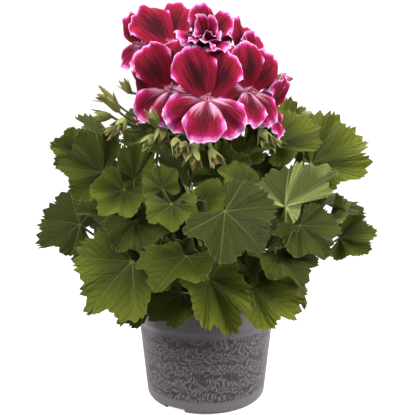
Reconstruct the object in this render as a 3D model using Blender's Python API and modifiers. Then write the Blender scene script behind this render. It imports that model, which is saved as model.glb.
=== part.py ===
"""Regal pelargonium in flower, in its round nursery pot.

Metres, +Z up. The origin is on the pot's axis, at the level that the pot stands on, and -Y is
the front. Leaves and petals are open sheets of a formula, made solid with Solidify, and each
leafy stem, flowering stem and bloom is joined into one body with one Boolean union.
"""

import math
import random

import bmesh
import bpy
from mathutils import Matrix, Vector
from mathutils.bvhtree import BVHTree

MM = 0.001

# Pot
RIM_RADIUS = 0.060
POT_HEIGHT = 0.079
COLLAR_BOTTOM = 0.0605
COLLAR_STEP = 0.0035
WALL_TOP_RADIUS = 0.0562
WALL_FOOT_RADIUS = 0.0488
CORNER_RADIUS = 0.004
WALL = 0.0016
CORNER_ARC = math.radians(55)
COLLAR_DRAFT = 0.0006
FOOT_RADIUS = 0.0464
FOOT_HEIGHT = 0.0042
FOOT_WIDTH = 0.0022
RIM_EDGE = 0.0006
POT_SIDES = 24
NOTCHES = 3
NOTCH_SIZE = (0.014, 0.017, 0.0068)
FIRST_NOTCH_DEGREES = 241.0
DRAIN_SIZE = (0.009, 0.005, 0.009)
DRAIN_INSET = 0.003
DRAIN_OFFSET = 0.0055

# Soil
SOIL_TOP = 0.0715
SOIL_GAP = 0.0003
SOIL_CROWN = 0.0012
SOIL_CROWN_RADIUS = 0.030
SOIL_RIPPLE = 0.0008
SOIL_RIPPLE_TURN = 240
SOIL_SIDES = 16
HOLE_SIDES = 6
HOLE_DEPTH = 0.014

# Leaves
LEAF_THICKNESS = 0.0008
LOBE_ANGLE = math.radians(52)
BLADE_HALF_ANGLE = math.radians(130)
LOBE_CUT = 0.15
TOOTH_CUT = 0.13
PLEAT = 0.09
MARGIN_WAVE = 0.05
FOLD_ROUNDING = 0.12
MID_RING = 0.55
TEETH_OF_LENGTH = ((0.038, 10), (0.0, 7))
ROW_LEAF_TEETH = 6
ROW_LEAF_FORM = (0.08, 0.2, 0.5, 1.1)
STALK_RADIUS = 0.0012
STALK_POINTS = 4
STALK_RISE = 0.013
STALK_SLOPE = 0.35
STALK_ARRIVAL = (-0.19, 0, -0.41)
ROOT_ROOM = 0.018

# Stems
STEM_FOOT_RADIUS = 0.0036
STEM_TIP_RADIUS = 0.0022
STEM_POINTS = 5
STEM_BOTTOM = SOIL_TOP - HOLE_DEPTH

# Flowers
PETAL_THICKNESS = 0.0007
UPPER_PETAL = (0.035, 0.0165)
LOWER_PETAL = (0.031, 0.0148)
PETAL_ANGLES = (66, 114, -48, -96, -148)
PETAL_ROWS = ((0.5, 2), (1.0, 3))
FRONT_PETALS = (1, 3)
FRONT_PETAL_LIFT = 0.0009
FRONT_PETAL_TILT = math.radians(8)
PETAL_START = 0.0008
PETAL_ROUNDING = 0.42
PETAL_WIDENING = 0.62
PETAL_ARCH = 0.12
PETAL_RECURVE = 0.10
PETAL_RUFFLE = 0.07
CLOSED_NARROWING = 0.45
THROAT_RADIUS = 0.0019
THROAT_LENGTH = 0.005
CALYX_LENGTH = 0.008
CALYX_RADIUS = 0.0024
PEDICEL_RADIUS = 0.0009
PEDICEL_POINTS = 3
BUD_STALK_POINTS = 3
BUD_SHAPE = ((0.3, 0.95), (0.65, 1.0), (1.0, 0.15))
HUB_RADIUS = 0.0030
HUB_SEAT = 0.0016
HUB_SINK = 0.0022

# Room between neighbours
BLADE_ROOM = 0.0010
STALK_ROOM = 0.0008
TRIES = 220
ROW_LEAF_SEED = 100
BLOOM_SEED = 400
BUD_SEED = 700
LEAF_NUDGE = 0.018
LEAF_TILT = math.radians(30)
BLOOM_NUDGE = 0.014
BLOOM_TILT = math.radians(22)

# Each stem: name, foot on the soil, then the points that it grows through, in millimetres.
LEAFY_STEMS = {
    "leafy_stem_front_left": [(-14, -20), (-18, -28, 95), (-26, -40, 122), (-31, -45, 150)],
    "leafy_stem_left": [(-24, -4), (-34, -8, 110), (-50, -14, 145), (-60, -17, 176)],
    "leafy_stem_front": [(2, -24), (3, -36, 100), (0, -50, 132), (-7, -54, 160)],
    "leafy_stem_front_right": [(17, -16), (24, -28, 92), (32, -38, 120), (36, -38, 152)],
    "leafy_stem_right": [(25, 2), (38, 2, 105), (56, 4, 140), (66, 2, 176)],
    "leafy_stem_back_right": [(18, 18), (30, 34, 105), (40, 48, 140), (43, 52, 175)],
    "leafy_stem_back": [(-2, 25), (-4, 42, 105), (-6, 56, 140), (-6, 60, 175)],
    "leafy_stem_back_left": [(-20, 16), (-36, 32, 105), (-48, 42, 140), (-52, 46, 175)],
}
FLOWERING_STEMS = {
    "flowering_stem_front": [(-2, -10), (0, -15, 120), (-2, -26, 180), (-4, -34, 218)],
    "flowering_stem_left": [(-11, 2), (-16, 2, 120), (-26, -2, 180), (-34, -4, 232)],
    "flowering_stem_right": [(11, 0), (14, 2, 120), (24, 2, 180), (30, 0, 226)],
    "flowering_stem_back": [(0, 12), (0, 17, 120), (0, 24, 180), (0, 30, 232)],
}

# Each leaf: stem, where its stalk meets the blade, where its tip is, which way its upper face
# looks, then how much it is cupped, folded and drooped. Millimetres.
LEAVES = [
    ("front_left", (-50, -75, 118), (-81, -90, 91), (-0.25, -0.80, 0.55), 0.10, 0.10, 0.5, 1.20),
    ("front_left", (-12, -92, 124), (-32, -116, 112), (-0.15, -0.28, 0.95), 0.00, 0.15, 0.4, 1.25),
    ("front", (12, -101, 153), (40, -111, 132), (0.05, -0.70, 0.70), 0.00, 0.10, 0.4, 1.20),
    ("front_right", (32, -66, 100), (66, -80, 84), (0.15, -0.80, 0.60), 0.10, 0.20, 0.3, 1.0),
    ("front", (-4, -84, 108), (19, -98, 76), (0.10, -0.80, 0.60), 0.05, 0.55, 0.4, 0.75),
    ("right", (59, -45, 155), (92, -60, 188), (-0.30, 0.60, 0.75), -0.05, 0.30, 0.2, 1.0),
    ("right", (90, 0, 191), (140, 0, 218), (0.25, -0.85, 0.45), 0.05, 0.45, 0.2, 0.9),
    ("left", (-80, -30, 182), (-113, -42, 186), (-0.35, -0.85, 0.35), 0.30, 0.10, 0.2, 1.2),
    ("left", (-58, -62, 167), (-72, -72, 147), (0.10, -0.95, 0.20), 0.45, 0.10, 0.1, 0.95),
    ("left", (-102, -20, 140), (-141, -12, 148), (-0.25, -0.80, 0.55), 0.10, 0.20, 0.4, 1.0),
    ("right", (113, -5, 128), (143, -14, 135), (0.15, -0.90, 0.35), 0.10, 0.25, 0.3, 0.85),
    ("right", (105, 10, 157), (142, 0, 150), (0.00, -0.25, 0.97), 0.05, 0.20, 0.4, 0.9),
    ("left", (-111, 10, 200), (-134, 0, 209), (-0.20, -0.90, 0.30), 0.15, 0.20, 0.3, 1.1),
    ("right", (71, 22, 212), (74, 28, 260), (0.20, -0.90, 0.30), 0.05, 0.60, 0.2, 0.65),
    ("front", (-51, -48, 175), (-51, -38, 209), (0.20, -0.95, 0.10), 0.05, 0.55, 0.2, 0.65),
    ("front_left", (-22, -88, 157), (-20, -97, 140), (0.00, -0.85, 0.45), 0.10, 0.10, 0.2, 1.2),
    ("front_right", (49, -62, 124), (64, -86, 110), (0.10, -0.55, 0.83), 0.00, 0.20, 0.4, 1.1),
    ("front_left", (-16, -80, 98), (-38, -90, 84), (0.10, -0.80, 0.55), 0.15, 0.25, 0.4, 1.0),
    ("front_left", (-44, -58, 92), (-66, -66, 73), (-0.20, -0.70, 0.70), 0.05, 0.20, 0.4, 0.9),
    ("front_left", (-70, -50, 146), (-99, -42, 155), (-0.20, -0.55, 0.80), 0.10, 0.35, 0.4, 0.8),
    ("right", (58, -8, 202), (97, 5, 217), (0.10, -0.70, 0.70), 0.05, 0.30, 0.3, 0.9),
    ("left", (-77, 4, 211), (-114, 30, 226), (-0.10, 0.30, 0.95), 0.05, 0.30, 0.3, 0.9),
    ("front_right", (67, -45, 141), (90, -58, 123), (0.10, -0.80, 0.60), 0.05, 0.15, 0.4, 1.1),
    ("front_left", (-49, -64, 145), (-38, -78, 124), (-0.10, -0.75, 0.65), 0.10, 0.10, 0.4, 1.1),
    ("front_right", (28, -72, 170), (10, -78, 182), (0.00, -0.80, 0.60), 0.05, 0.20, 0.3, 0.9),
    ("front", (1, -80, 160), (18, -86, 168), (0.00, -0.80, 0.60), 0.05, 0.20, 0.3, 1.0),
    ("front", (-30, -70, 168), (-32, -66, 186), (-0.10, -0.95, 0.20), 0.10, 0.30, 0.2, 1.0),
    ("left", (-44, 2, 202), (-60, 8, 236), (-0.10, -0.90, 0.45), 0.10, 0.30, 0.3, 0.9),
    ("front", (-16, -38, 186), (-38, -46, 204), (0.00, -0.60, 0.80), 0.05, 0.20, 0.4, 1.0),
    ("front_right", (24, -38, 190), (48, -44, 206), (0.10, -0.60, 0.80), 0.05, 0.20, 0.4, 1.0),
    ("front", (4, -52, 178), (6, -66, 202), (0.00, -0.85, 0.50), 0.05, 0.20, 0.3, 1.1),
    ("front_right", (60, -26, 104), (82, -36, 78), (0.85, -0.30, 0.45), 0.08, 0.20, 0.4, 1.1),
    ("right", (88, 30, 176), (104, 30, 140), (0.85, -0.05, 0.50), 0.08, 0.20, 0.4, 1.1),
    ("left", (-66, -36, 126), (-76, -56, 104), (-0.95, -0.20, 0.40), 0.08, 0.20, 0.4, 1.1),
    ("front", (4, -30, 142), (10, -34, 176), (0.05, -0.98, 0.15), 0.10, 0.20, 0.3, 1.1),
    ("left", (-36, -26, 146), (-44, -30, 180), (-0.15, -0.95, 0.20), 0.10, 0.20, 0.3, 1.1),
    ("front_right", (38, -20, 148), (46, -22, 182), (0.15, -0.95, 0.20), 0.10, 0.20, 0.3, 1.1),
    ("right", (36, -12, 186), (38, -14, 220), (0.10, -0.95, 0.25), 0.10, 0.20, 0.3, 1.1),
]

# The leaves of the sides and the back follow a rule: rows round the plant at these heights.
# Each row: height, how far out the stalks end, leaf length, how steeply the leaves hang, count,
# and the degrees round from the front where the row starts and ends.
LEAF_ROWS = [
    (96, 70, 41, 0.80, 6, 76, 282),
    (122, 86, 44, 0.60, 5, 84, 272),
    (150, 87, 43, 0.35, 6, 76, 282),
    (178, 74, 40, 0.00, 5, 88, 274),
    (205, 54, 36, -0.55, 4, 110, 250),
]
ROW_SEED = 5
ROW_SPREAD = 5

# Each bloom: flowering stem, throat, which way it faces, roll in degrees, size, how far its
# petals close forwards in degrees. Millimetres.
BLOOMS = [
    ("front", (1, -74, 228), (0.02, -0.98, 0.12), 0, 1.00, 4),
    ("left", (-27, -27, 281), (-0.15, -0.88, 0.45), 22, 1.18, 8),
    ("front", (-25, -52, 241), (-0.34, -0.93, 0.08), 8, 1.00, 10),
    ("right", (31, -50, 240), (0.45, -0.88, 0.08), -6, 0.94, 12),
    ("right", (30, -30, 270), (0.52, -0.66, 0.54), -10, 0.90, 22),
    ("front", (-1, -49, 262), (-0.05, -0.78, 0.62), 0, 0.84, 34),
    ("back", (2, -10, 284), (0.08, -0.20, 0.97), 0, 0.84, 32),
    ("left", (-53, -4, 291), (-0.80, -0.58, 0.15), 0, 0.84, 18),
    ("back", (4, 20, 284), (0.05, 0.35, 0.93), 30, 0.84, 30),
    ("right", (38, -8, 266), (0.85, -0.25, 0.40), 0, 0.86, 22),
    ("left", (-32, 30, 262), (-0.62, 0.65, 0.45), 0, 0.90, 18),
    ("back", (4, 42, 262), (0.05, 0.90, 0.40), 0, 0.92, 18),
    ("right", (38, 30, 254), (0.70, 0.65, 0.30), 0, 0.90, 18),
    ("right", (43, -26, 238), (0.90, -0.42, -0.05), 0, 0.80, 20),
    ("left", (-44, -24, 246), (-0.85, -0.50, 0.10), 0, 0.84, 20),
]

# Each bud: flowering stem, where the bud's base is, which way it points, length, half its width.
BUDS = [
    ("left", (-66, -20, 236), (-0.80, -0.20, -0.15), 14, 2.6),
    ("left", (-62, -24, 228), (-0.15, -0.30, -1.00), 15, 3.0),
    ("left", (-56, -26, 232), (0.35, -0.45, -0.80), 13, 2.6),
    ("left", (-64, -16, 242), (-0.50, -0.20, 0.70), 12, 2.4),
    ("front", (-31, -54, 214), (-0.15, -0.40, -0.90), 15, 3.0),
    ("front", (-22, -60, 204), (0.25, -0.50, -0.85), 14, 2.8),
    ("front", (-8, -66, 196), (-0.10, -0.45, -0.90), 14, 3.0),
    ("front", (3, -66, 194), (0.35, -0.45, -0.80), 13, 2.6),
    ("right", (42, -38, 214), (0.30, -0.45, -0.80), 14, 3.0),
    ("right", (50, -30, 212), (0.55, -0.30, -0.65), 12, 2.4),
    ("right", (82, 4, 232), (1.00, -0.10, -0.05), 15, 4.0),
    ("right", (57, 16, 272), (1.00, -0.05, 0.05), 20, 3.4),
    ("back", (-18, 56, 240), (-0.30, 0.90, -0.20), 13, 2.8),
    ("back", (16, 58, 236), (0.30, 0.85, -0.35), 14, 2.8),
]

LEAF_GREEN = (0.075, 0.135, 0.020)
STEM_GREEN = (0.120, 0.190, 0.045)
PETAL_CRIMSON = (0.330, 0.008, 0.055)
POT_GREY = (0.135, 0.122, 0.130)
PEAT_BROWN = (0.020, 0.013, 0.009)


def material(name, colour, roughness):
    made = bpy.data.materials.new(name)
    made.use_nodes = True
    shader = made.node_tree.nodes["Principled BSDF"]
    shader.inputs["Base Color"].default_value = (*colour, 1)
    shader.inputs["Roughness"].default_value = roughness
    shader.inputs["Metallic"].default_value = 0
    return made


def add_object(name, mesh, collection, finish=None):
    made = bpy.data.objects.new(name, mesh)
    collection.objects.link(made)
    if finish:
        mesh.materials.append(finish)
    return made


def evaluated_mesh(obj):
    graph = bpy.context.evaluated_depsgraph_get()
    return bpy.data.meshes.new_from_object(obj.evaluated_get(graph))


def smooth_route(points, count):
    """A smooth line through the points, sampled evenly in the parameter."""
    ends = [points[0] * 2 - points[1], *points, points[-1] * 2 - points[-2]]
    line = []
    for k in range(count):
        at = k / (count - 1) * (len(points) - 1)
        i = min(int(at), len(points) - 2)
        t = at - i
        a, b, c, d = ends[i : i + 4]
        line.append(
            0.5 * (2 * b + (c - a) * t + (2 * a - 5 * b + 4 * c - d) * t**2 + (3 * b - a - 3 * c + d) * t**3)
        )
    return line


def tube(name, line, radii, sides_step, collection):
    """A mesh tube along the line: a bevelled curve with its caps welded on."""
    curve = bpy.data.curves.new(name, "CURVE")
    curve.dimensions = "3D"
    curve.bevel_depth = 1.0
    curve.bevel_resolution = sides_step
    curve.use_fill_caps = True
    spline = curve.splines.new("POLY")
    spline.points.add(len(line) - 1)
    for point, at, radius in zip(spline.points, line, radii):
        point.co = (*at, 1)
        point.radius = radius
    guide = bpy.data.objects.new(name, curve)
    bpy.context.scene.collection.objects.link(guide)
    mesh = evaluated_mesh(guide)
    bpy.data.objects.remove(guide, do_unlink=True)
    shape = bmesh.new()
    shape.from_mesh(mesh)
    bmesh.ops.remove_doubles(shape, verts=shape.verts, dist=1e-6)
    bmesh.ops.recalc_face_normals(shape, faces=shape.faces)
    bmesh.ops.triangulate(shape, faces=shape.faces)
    shape.to_mesh(mesh)
    shape.free()
    return add_object(name, mesh, collection)


def join_pieces(body, pieces):
    """Fuses every object of the collection into the body and removes them."""
    union = body.modifiers.new("grown_together", "BOOLEAN")
    union.operation = "UNION"
    union.solver = "MANIFOLD"
    union.operand_type = "COLLECTION"
    union.collection = pieces
    mesh = evaluated_mesh(body)
    body.modifiers.clear()
    body.data = mesh
    for piece in list(pieces.objects):
        bpy.data.objects.remove(piece, do_unlink=True)
    bpy.data.collections.remove(pieces)
    body.data.shade_smooth()


def bezier(start, control, end, count):
    return [
        start * (1 - t) ** 2 + control * 2 * t * (1 - t) + end * t**2
        for t in (k / (count - 1) for k in range(count))
    ]


def frame_at(origin, forward, upward):
    """Axes at a point: X along forward, Z as near to upward as it can be."""
    x = forward.normalized()
    y = upward.cross(x).normalized()
    z = x.cross(y)
    return Matrix.Translation(origin) @ Matrix((x, y, z)).transposed().to_4x4()


class Room:
    """The space that is already taken, kept as one tree of triangles."""

    def __init__(self):
        self.points = []
        self.faces = []
        self.tree = None

    def take(self, obj):
        mesh = evaluated_mesh(obj)
        start = len(self.points)
        self.points += [obj.matrix_world @ v.co for v in mesh.vertices]
        self.faces += [tuple(start + i for i in face.vertices) for face in mesh.polygons]
        self.tree = BVHTree.FromPolygons(self.points, self.faces)
        bpy.data.meshes.remove(mesh)

    def clear_of_sheets(self, sheets):
        """Whether sheets have room on both faces and all along their margins."""
        for points, faces in sheets:
            normals = [Vector() for _ in points]
            for face in faces:
                a, b, c = (points[i] for i in face)
                for i in face:
                    normals[i] += (b - a).cross(c - a)
            for side in (0, BLADE_ROOM, -BLADE_ROOM):
                moved = [at + normal.normalized() * side for at, normal in zip(points, normals)]
                if self.tree.overlap(BVHTree.FromPolygons(moved, faces)):
                    return False
            middles = [(points[a] + points[b] + points[c]) / 3 for a, b, c in faces]
            middles += [(points[a] + points[b]) / 2 for a, b, _ in faces if a]
            for at in points[1:] + middles:
                if self.tree.find_nearest(at, BLADE_ROOM)[0] is not None:
                    return False
        return True

    def clear_of_line(self, line, radius, skip):
        """Whether a stalk along the line has room, but for its first stretch at its root."""
        root = line[0]
        for a, b in zip(line, line[1:]):
            steps = max(2, round((b - a).length / 0.002))
            for k in range(steps):
                at = a.lerp(b, k / steps)
                if (at - root).length < skip:
                    continue
                if self.tree.find_nearest(at, radius + STALK_ROOM)[0] is not None:
                    return False
        return True


def nudges(seed, step, tilt):
    """Moves to try, the first none and each a little larger: an offset and a turn."""
    draw = random.Random(seed)
    yield Vector((0, 0, 0)), Matrix.Identity(3)
    for k in range(1, TRIES):
        share = k / TRIES
        offset = Vector([draw.uniform(-1, 1) for _ in range(3)]) * step * share
        axis = Vector([draw.uniform(-1, 1) for _ in range(3)]).normalized()
        yield offset, Matrix.Rotation(draw.uniform(0.3, 1) * tilt * share, 3, axis)


def lobe(angle):
    """1 on a main vein, 0 at the cut between two lobes."""
    return 0.5 + 0.5 * math.cos(2 * math.pi * angle / LOBE_ANGLE)


def edge_reach(angle):
    """How far the margin reaches at an angle from the tip, as a share of the blade's length."""
    return (0.82 + 0.18 * math.cos(angle)) * (1 - LOBE_CUT * (1 - lobe(angle)))


def blade_point(leaf, angle, share, edge):
    """A point of the blade: polar round the stalk's end, with the tip along X and up along Z."""
    reach = leaf["length"] * share * edge
    r = reach / leaf["length"]
    x = reach * math.cos(angle)
    y = reach * math.sin(angle) * leaf["width"]
    wave = MARGIN_WAVE * r**3 * math.sin(4 * angle + leaf["phase"])
    z = leaf["length"] * (leaf["cup"] * r * r + PLEAT * r * (0.5 - lobe(angle)) + wave)
    rounding = FOLD_ROUNDING * leaf["length"]
    z += (math.hypot(y, rounding) - rounding) * math.sin(leaf["fold"])
    y *= math.cos(leaf["fold"])
    bend = leaf["length"] / leaf["droop"]
    turn = x / bend
    return Vector(((bend + z) * math.sin(turn), y, (bend + z) * math.cos(turn) - bend))


def blade_sheet(leaf, place):
    """The open sheet of a blade: a point on each main vein, and the toothed margin round them."""
    teeth = leaf["teeth"]
    veins = [k * LOBE_ANGLE for k in range(-2, 3)]
    step = BLADE_HALF_ANGLE / teeth
    margin = [-BLADE_HALF_ANGLE + i * step for i in range(2 * teeth + 1)]
    points = [blade_point(leaf, 0, 0, 1)]
    points += [blade_point(leaf, angle, MID_RING, edge_reach(angle)) for angle in veins]
    for i, angle in enumerate(margin):
        cut = 1 - TOOTH_CUT if i % 2 == 0 else 1
        points.append(blade_point(leaf, angle, 1, edge_reach(angle) * cut))
    first = 1 + len(veins)
    faces = [(0, k, k + 1) for k in range(1, len(veins))]
    faces += [(0, first, 1), (0, len(veins), len(points) - 1)]
    held = 1
    for i in range(2 * teeth):
        middle = margin[i] + step / 2
        nearest = 1 + min(range(len(veins)), key=lambda k: abs(veins[k] - middle))
        if nearest != held:
            faces.append((held, first + i, nearest))
            held = nearest
        faces.append((held, first + i, first + i + 1))
    return [place @ p for p in points], faces


def sheet_object(name, sheet, thickness, collection):
    points, faces = sheet
    shape = bmesh.new()
    corners = [shape.verts.new(p) for p in points]
    for face in faces:
        shape.faces.new([corners[i] for i in face])
    mesh = bpy.data.meshes.new(name)
    shape.to_mesh(mesh)
    shape.free()
    made = add_object(name, mesh, collection)
    solid = made.modifiers.new("thickness", "SOLIDIFY")
    solid.thickness = thickness
    solid.offset = 0
    return made


def leaf_of(stem, joint, tip, face, cup, fold, droop, width, seed):
    start, end = Vector(joint) * MM, Vector(tip) * MM
    length = (end - start).length
    return {
        "stem": stem,
        "place": frame_at(start, end - start, Vector(face)),
        "length": length,
        "width": width,
        "cup": cup,
        "fold": fold,
        "droop": droop,
        "phase": seed * 1.7,
        "teeth": next(teeth for least, teeth in TEETH_OF_LENGTH if length >= least),
        "seed": seed,
    }


def stem_below(line, joint):
    """The place on a stem where the stalk of a leaf grows out."""
    rise = STALK_RISE + STALK_SLOPE * math.hypot(joint.x, joint.y)
    height = min(max(joint.z - rise, SOIL_TOP + STALK_RISE), line[-1].z - STEM_TIP_RADIUS)
    for a, b in zip(line, line[1:]):
        if a.z <= height <= b.z:
            return a.lerp(b, (height - a.z) / (b.z - a.z))
    return line[-2]


def leaf_stalk(leaf, place, line):
    joint = place.translation
    root = stem_below(line, joint)
    back = place.to_3x3() @ Vector(STALK_ARRIVAL)
    control = joint + back * (joint - root).length
    seat = joint - place.to_3x3() @ Vector((0, 0, LEAF_THICKNESS * 0.3))
    return bezier(root, control, seat, STALK_POINTS)


def grow_leaf(leaf, line, room, pieces):
    """Sets one leaf where it has room, trying small moves. One without room is left out."""
    for offset, turn in nudges(leaf["seed"], LEAF_NUDGE, LEAF_TILT):
        place = Matrix.Translation(leaf["place"].translation + offset)
        place = place @ (turn @ leaf["place"].to_3x3()).to_4x4()
        sheet = blade_sheet(leaf, place)
        stalk = leaf_stalk(leaf, place, line)
        if room.clear_of_sheets([sheet]) and room.clear_of_line(stalk, STALK_RADIUS, ROOT_ROOM):
            break
    else:
        return
    blade = sheet_object("blade", sheet, LEAF_THICKNESS, pieces)
    room.take(blade)
    radii = [STALK_RADIUS * 1.25] + [STALK_RADIUS] * (STALK_POINTS - 2) + [STALK_RADIUS * 0.6]
    room.take(tube("stalk", stalk, radii, 0, pieces))


def row_leaves():
    """The leaves of the sides and back, as one list of leaf values."""
    draw = random.Random(ROW_SEED)
    made = []
    for row, (height, out, length, hang, count, first, last) in enumerate(LEAF_ROWS):
        for k in range(count):
            degrees = first + (last - first) * (k + 0.5 * (row % 2)) / (count - 0.5)
            angle = math.radians(degrees + draw.uniform(-ROW_SPREAD, ROW_SPREAD))
            outward = Vector((-math.sin(angle), -math.cos(angle), 0))
            joint = outward * (out + draw.uniform(-ROW_SPREAD, ROW_SPREAD))
            joint.z = height + draw.uniform(-ROW_SPREAD, ROW_SPREAD)
            sideways = outward.cross(Vector((0, 0, 1))) * draw.uniform(-0.4, 0.4)
            heading = (outward + sideways - Vector((0, 0, hang))).normalized()
            face = outward * (0.35 + 0.5 * abs(hang)) + Vector((0, 0, 0.8))
            made.append((joint, joint + heading * length * draw.uniform(0.85, 1.1), face))
    return made


def nearest_stem(joint, lines):
    def gap(name):
        top = lines[name][-1]
        return (Vector((top.x, top.y)).normalized() - Vector((joint.x, joint.y)).normalized()).length

    return min(lines, key=gap)


def petal_sheet(flower, place, index):
    """The open sheet of one petal: a narrow claw that widens into a ruffled fan."""
    length, half_width = UPPER_PETAL if index < 2 else LOWER_PETAL
    length *= flower["size"]
    half_width *= flower["size"] * (1 - CLOSED_NARROWING * math.sin(flower["close"]))
    angle = math.radians(PETAL_ANGLES[index] + flower["roll"])
    front = index in FRONT_PETALS
    close = flower["close"] + FRONT_PETAL_TILT * front
    around = Matrix.Rotation(angle, 4, "Z") @ Matrix.Rotation(-close, 4, "Y")
    around = Matrix.Translation((0, 0, FRONT_PETAL_LIFT * front)) @ around
    points = [Vector((PETAL_START, 0, 0))]
    for row, columns in PETAL_ROWS:
        for column in range(columns + 1):
            v = 2 * column / columns - 1
            x = PETAL_START + length * row * (1 - PETAL_ROUNDING * abs(v) ** 3 * row**2)
            y = half_width * v * math.sin(math.pi / 2 * row**PETAL_WIDENING)
            ruffle = PETAL_RUFFLE * row**2 * math.sin(4.4 * v + index * 2.1 + flower["phase"])
            z = length * (PETAL_ARCH * math.sin(math.pi * row * 0.75) + ruffle - PETAL_RECURVE * row**3)
            points.append(Vector((x, y, z)))
    middle, end = (list(range(first, first + columns + 1)) for first, (_, columns) in zip((1, 4), PETAL_ROWS))
    faces = [(0, a, b) for a, b in zip(middle, middle[1:])]
    faces += [(a, b, c) for a, b, c in zip(middle, end, end[1:])]
    faces += [(a, c, b) for a, b, c in zip(middle, middle[1:], end[1:])]
    return [place @ around @ p for p in points], faces


def flower_of(stem, throat, facing, roll, size, close, seed):
    axis = Vector(facing).normalized()
    level = Vector((0, 0, 1)) if abs(axis.z) < 0.9 else Vector((0, 1, 0))
    right = level.cross(axis).normalized()
    up = axis.cross(right)
    turn = Matrix((right, up, axis)).transposed()
    return {
        "stem": stem,
        "place": Matrix.Translation(Vector(throat) * MM) @ turn.to_4x4(),
        "roll": roll,
        "size": size,
        "close": math.radians(close),
        "phase": seed * 1.3,
        "seed": BLOOM_SEED + seed,
    }


def hub_seat(top, aim):
    """Where a flower stalk leaves the hub at the top of its stem."""
    return top + (aim - top).normalized() * HUB_SEAT - Vector((0, 0, HUB_SINK))


def pedicel_line(place, top):
    axis = place.to_3x3() @ Vector((0, 0, 1))
    calyx_end = place.translation - axis * (THROAT_LENGTH * 0.6 + 0.0003)
    calyx_start = calyx_end - axis * CALYX_LENGTH
    control = calyx_start - axis * (calyx_start - top).length * 0.4
    stalk = bezier(hub_seat(top, control), control, calyx_start, PEDICEL_POINTS)
    return [*stalk, calyx_end - axis * CALYX_LENGTH * 0.4, calyx_end]


def grow_bloom(flower, name, top, room, pieces, collection, finish):
    """Sets one bloom where it has room, with its flower stalk, and joins its petals."""
    for offset, turn in nudges(flower["seed"], BLOOM_NUDGE, BLOOM_TILT):
        place = Matrix.Translation(flower["place"].translation + offset)
        place = place @ (turn @ flower["place"].to_3x3()).to_4x4()
        sheets = [petal_sheet(flower, place, k) for k in range(len(PETAL_ANGLES))]
        line = pedicel_line(place, top)
        if room.clear_of_sheets(sheets) and room.clear_of_line(line[:-2], PEDICEL_RADIUS, 0.006):
            break
    else:
        return
    radii = [PEDICEL_RADIUS] * (PEDICEL_POINTS - 1)
    radii += [PEDICEL_RADIUS * 1.3, CALYX_RADIUS, CALYX_RADIUS * 0.85]
    stalk = tube("pedicel", line, radii, 0, pieces)
    axis = place.to_3x3() @ Vector((0, 0, 1))
    throat = [place.translation + axis * THROAT_LENGTH * t for t in (-0.6, 0.4)]
    body = tube(name, throat, [THROAT_RADIUS] * 2, 0, collection)
    body.data.materials.append(finish)
    petals = bpy.data.collections.new("petals")
    bpy.context.scene.collection.children.link(petals)
    for k, sheet in enumerate(sheets):
        sheet_object(f"petal_{k}", sheet, PETAL_THICKNESS, petals)
    join_pieces(body, petals)
    room.take(body)
    room.take(stalk)


def bud_line(start, direction, length, top):
    control = top.lerp(start, 0.6) + Vector((0, 0, 0.006))
    stalk = bezier(hub_seat(top, control), control, start, BUD_STALK_POINTS)
    return stalk + [start + direction * length * t for t, _ in BUD_SHAPE]


def grow_bud(stem, base, direction, length, half_width, seed, top, room, pieces):
    direction = Vector(direction).normalized()
    for offset, turn in nudges(BUD_SEED + seed, BLOOM_NUDGE, BLOOM_TILT):
        start = Vector(base) * MM + offset
        heading = turn @ direction
        line = bud_line(start, heading, length * MM, top)
        if room.clear_of_line(line, half_width * MM, 0.008 + half_width * MM):
            break
    else:
        return
    wide = half_width * MM
    radii = [PEDICEL_RADIUS] * (BUD_STALK_POINTS - 1)
    radii += [PEDICEL_RADIUS * 1.4, *(wide * share for _, share in BUD_SHAPE)]
    room.take(tube("bud", line, radii, 0, pieces))


def make_stem(name, route, collection, finish):
    foot, grown = [Vector((*route[0], z / MM)) * MM for z in (STEM_BOTTOM, SOIL_TOP + 0.004)]
    line = [foot, *smooth_route([grown, *(Vector(p) * MM for p in route[1:])], STEM_POINTS - 1)]
    share = [k / (STEM_POINTS - 1) for k in range(STEM_POINTS)]
    radii = [STEM_FOOT_RADIUS + (STEM_TIP_RADIUS - STEM_FOOT_RADIUS) * t for t in share]
    if name in FLOWERING_STEMS:
        line.append(line[-1] + Vector((0, 0, 0.003)))
        radii[-1:] = [STEM_TIP_RADIUS * 0.8, HUB_RADIUS]
    stem = tube(name, line, radii, 1, collection)
    stem.data.materials.append(finish)
    return stem, line


def turned(name, profile, sides, collection):
    """A solid of revolution about Z from a profile that ends on the axis, outer side downwards."""
    mesh = bpy.data.meshes.new(name)
    shape = bmesh.new()
    corners = [shape.verts.new((r, 0, z)) for r, z in profile]
    for a, b in zip(corners, corners[1:]):
        shape.edges.new((a, b))
    shape.to_mesh(mesh)
    shape.free()
    made = add_object(name, mesh, collection)
    screw = made.modifiers.new("turning", "SCREW")
    screw.steps = sides
    screw.render_steps = sides
    screw.use_merge_vertices = True
    screw.merge_threshold = 0.00001
    made.data = evaluated_mesh(made)
    made.modifiers.clear()
    return made


def wall_radius(z):
    """The outer radius of the tapered wall at a height."""
    return WALL_FOOT_RADIUS + (WALL_TOP_RADIUS - WALL_FOOT_RADIUS) * z / COLLAR_BOTTOM


def cutter_box(name, size, place, cutters):
    shape = bmesh.new()
    bmesh.ops.create_cube(shape, size=1, matrix=place @ Matrix.Diagonal((*size, 1)))
    mesh = bpy.data.meshes.new(name)
    shape.to_mesh(mesh)
    shape.free()
    return hide_cutter(add_object(name, mesh, cutters))


def hide_cutter(obj):
    obj.hide_render = True
    obj.display_type = "WIRE"
    return obj


def cut(body, cutter, name):
    modifier = body.modifiers.new(name, "BOOLEAN")
    modifier.operation = "DIFFERENCE"
    modifier.solver = "EXACT"
    modifier.object = cutter


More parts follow.
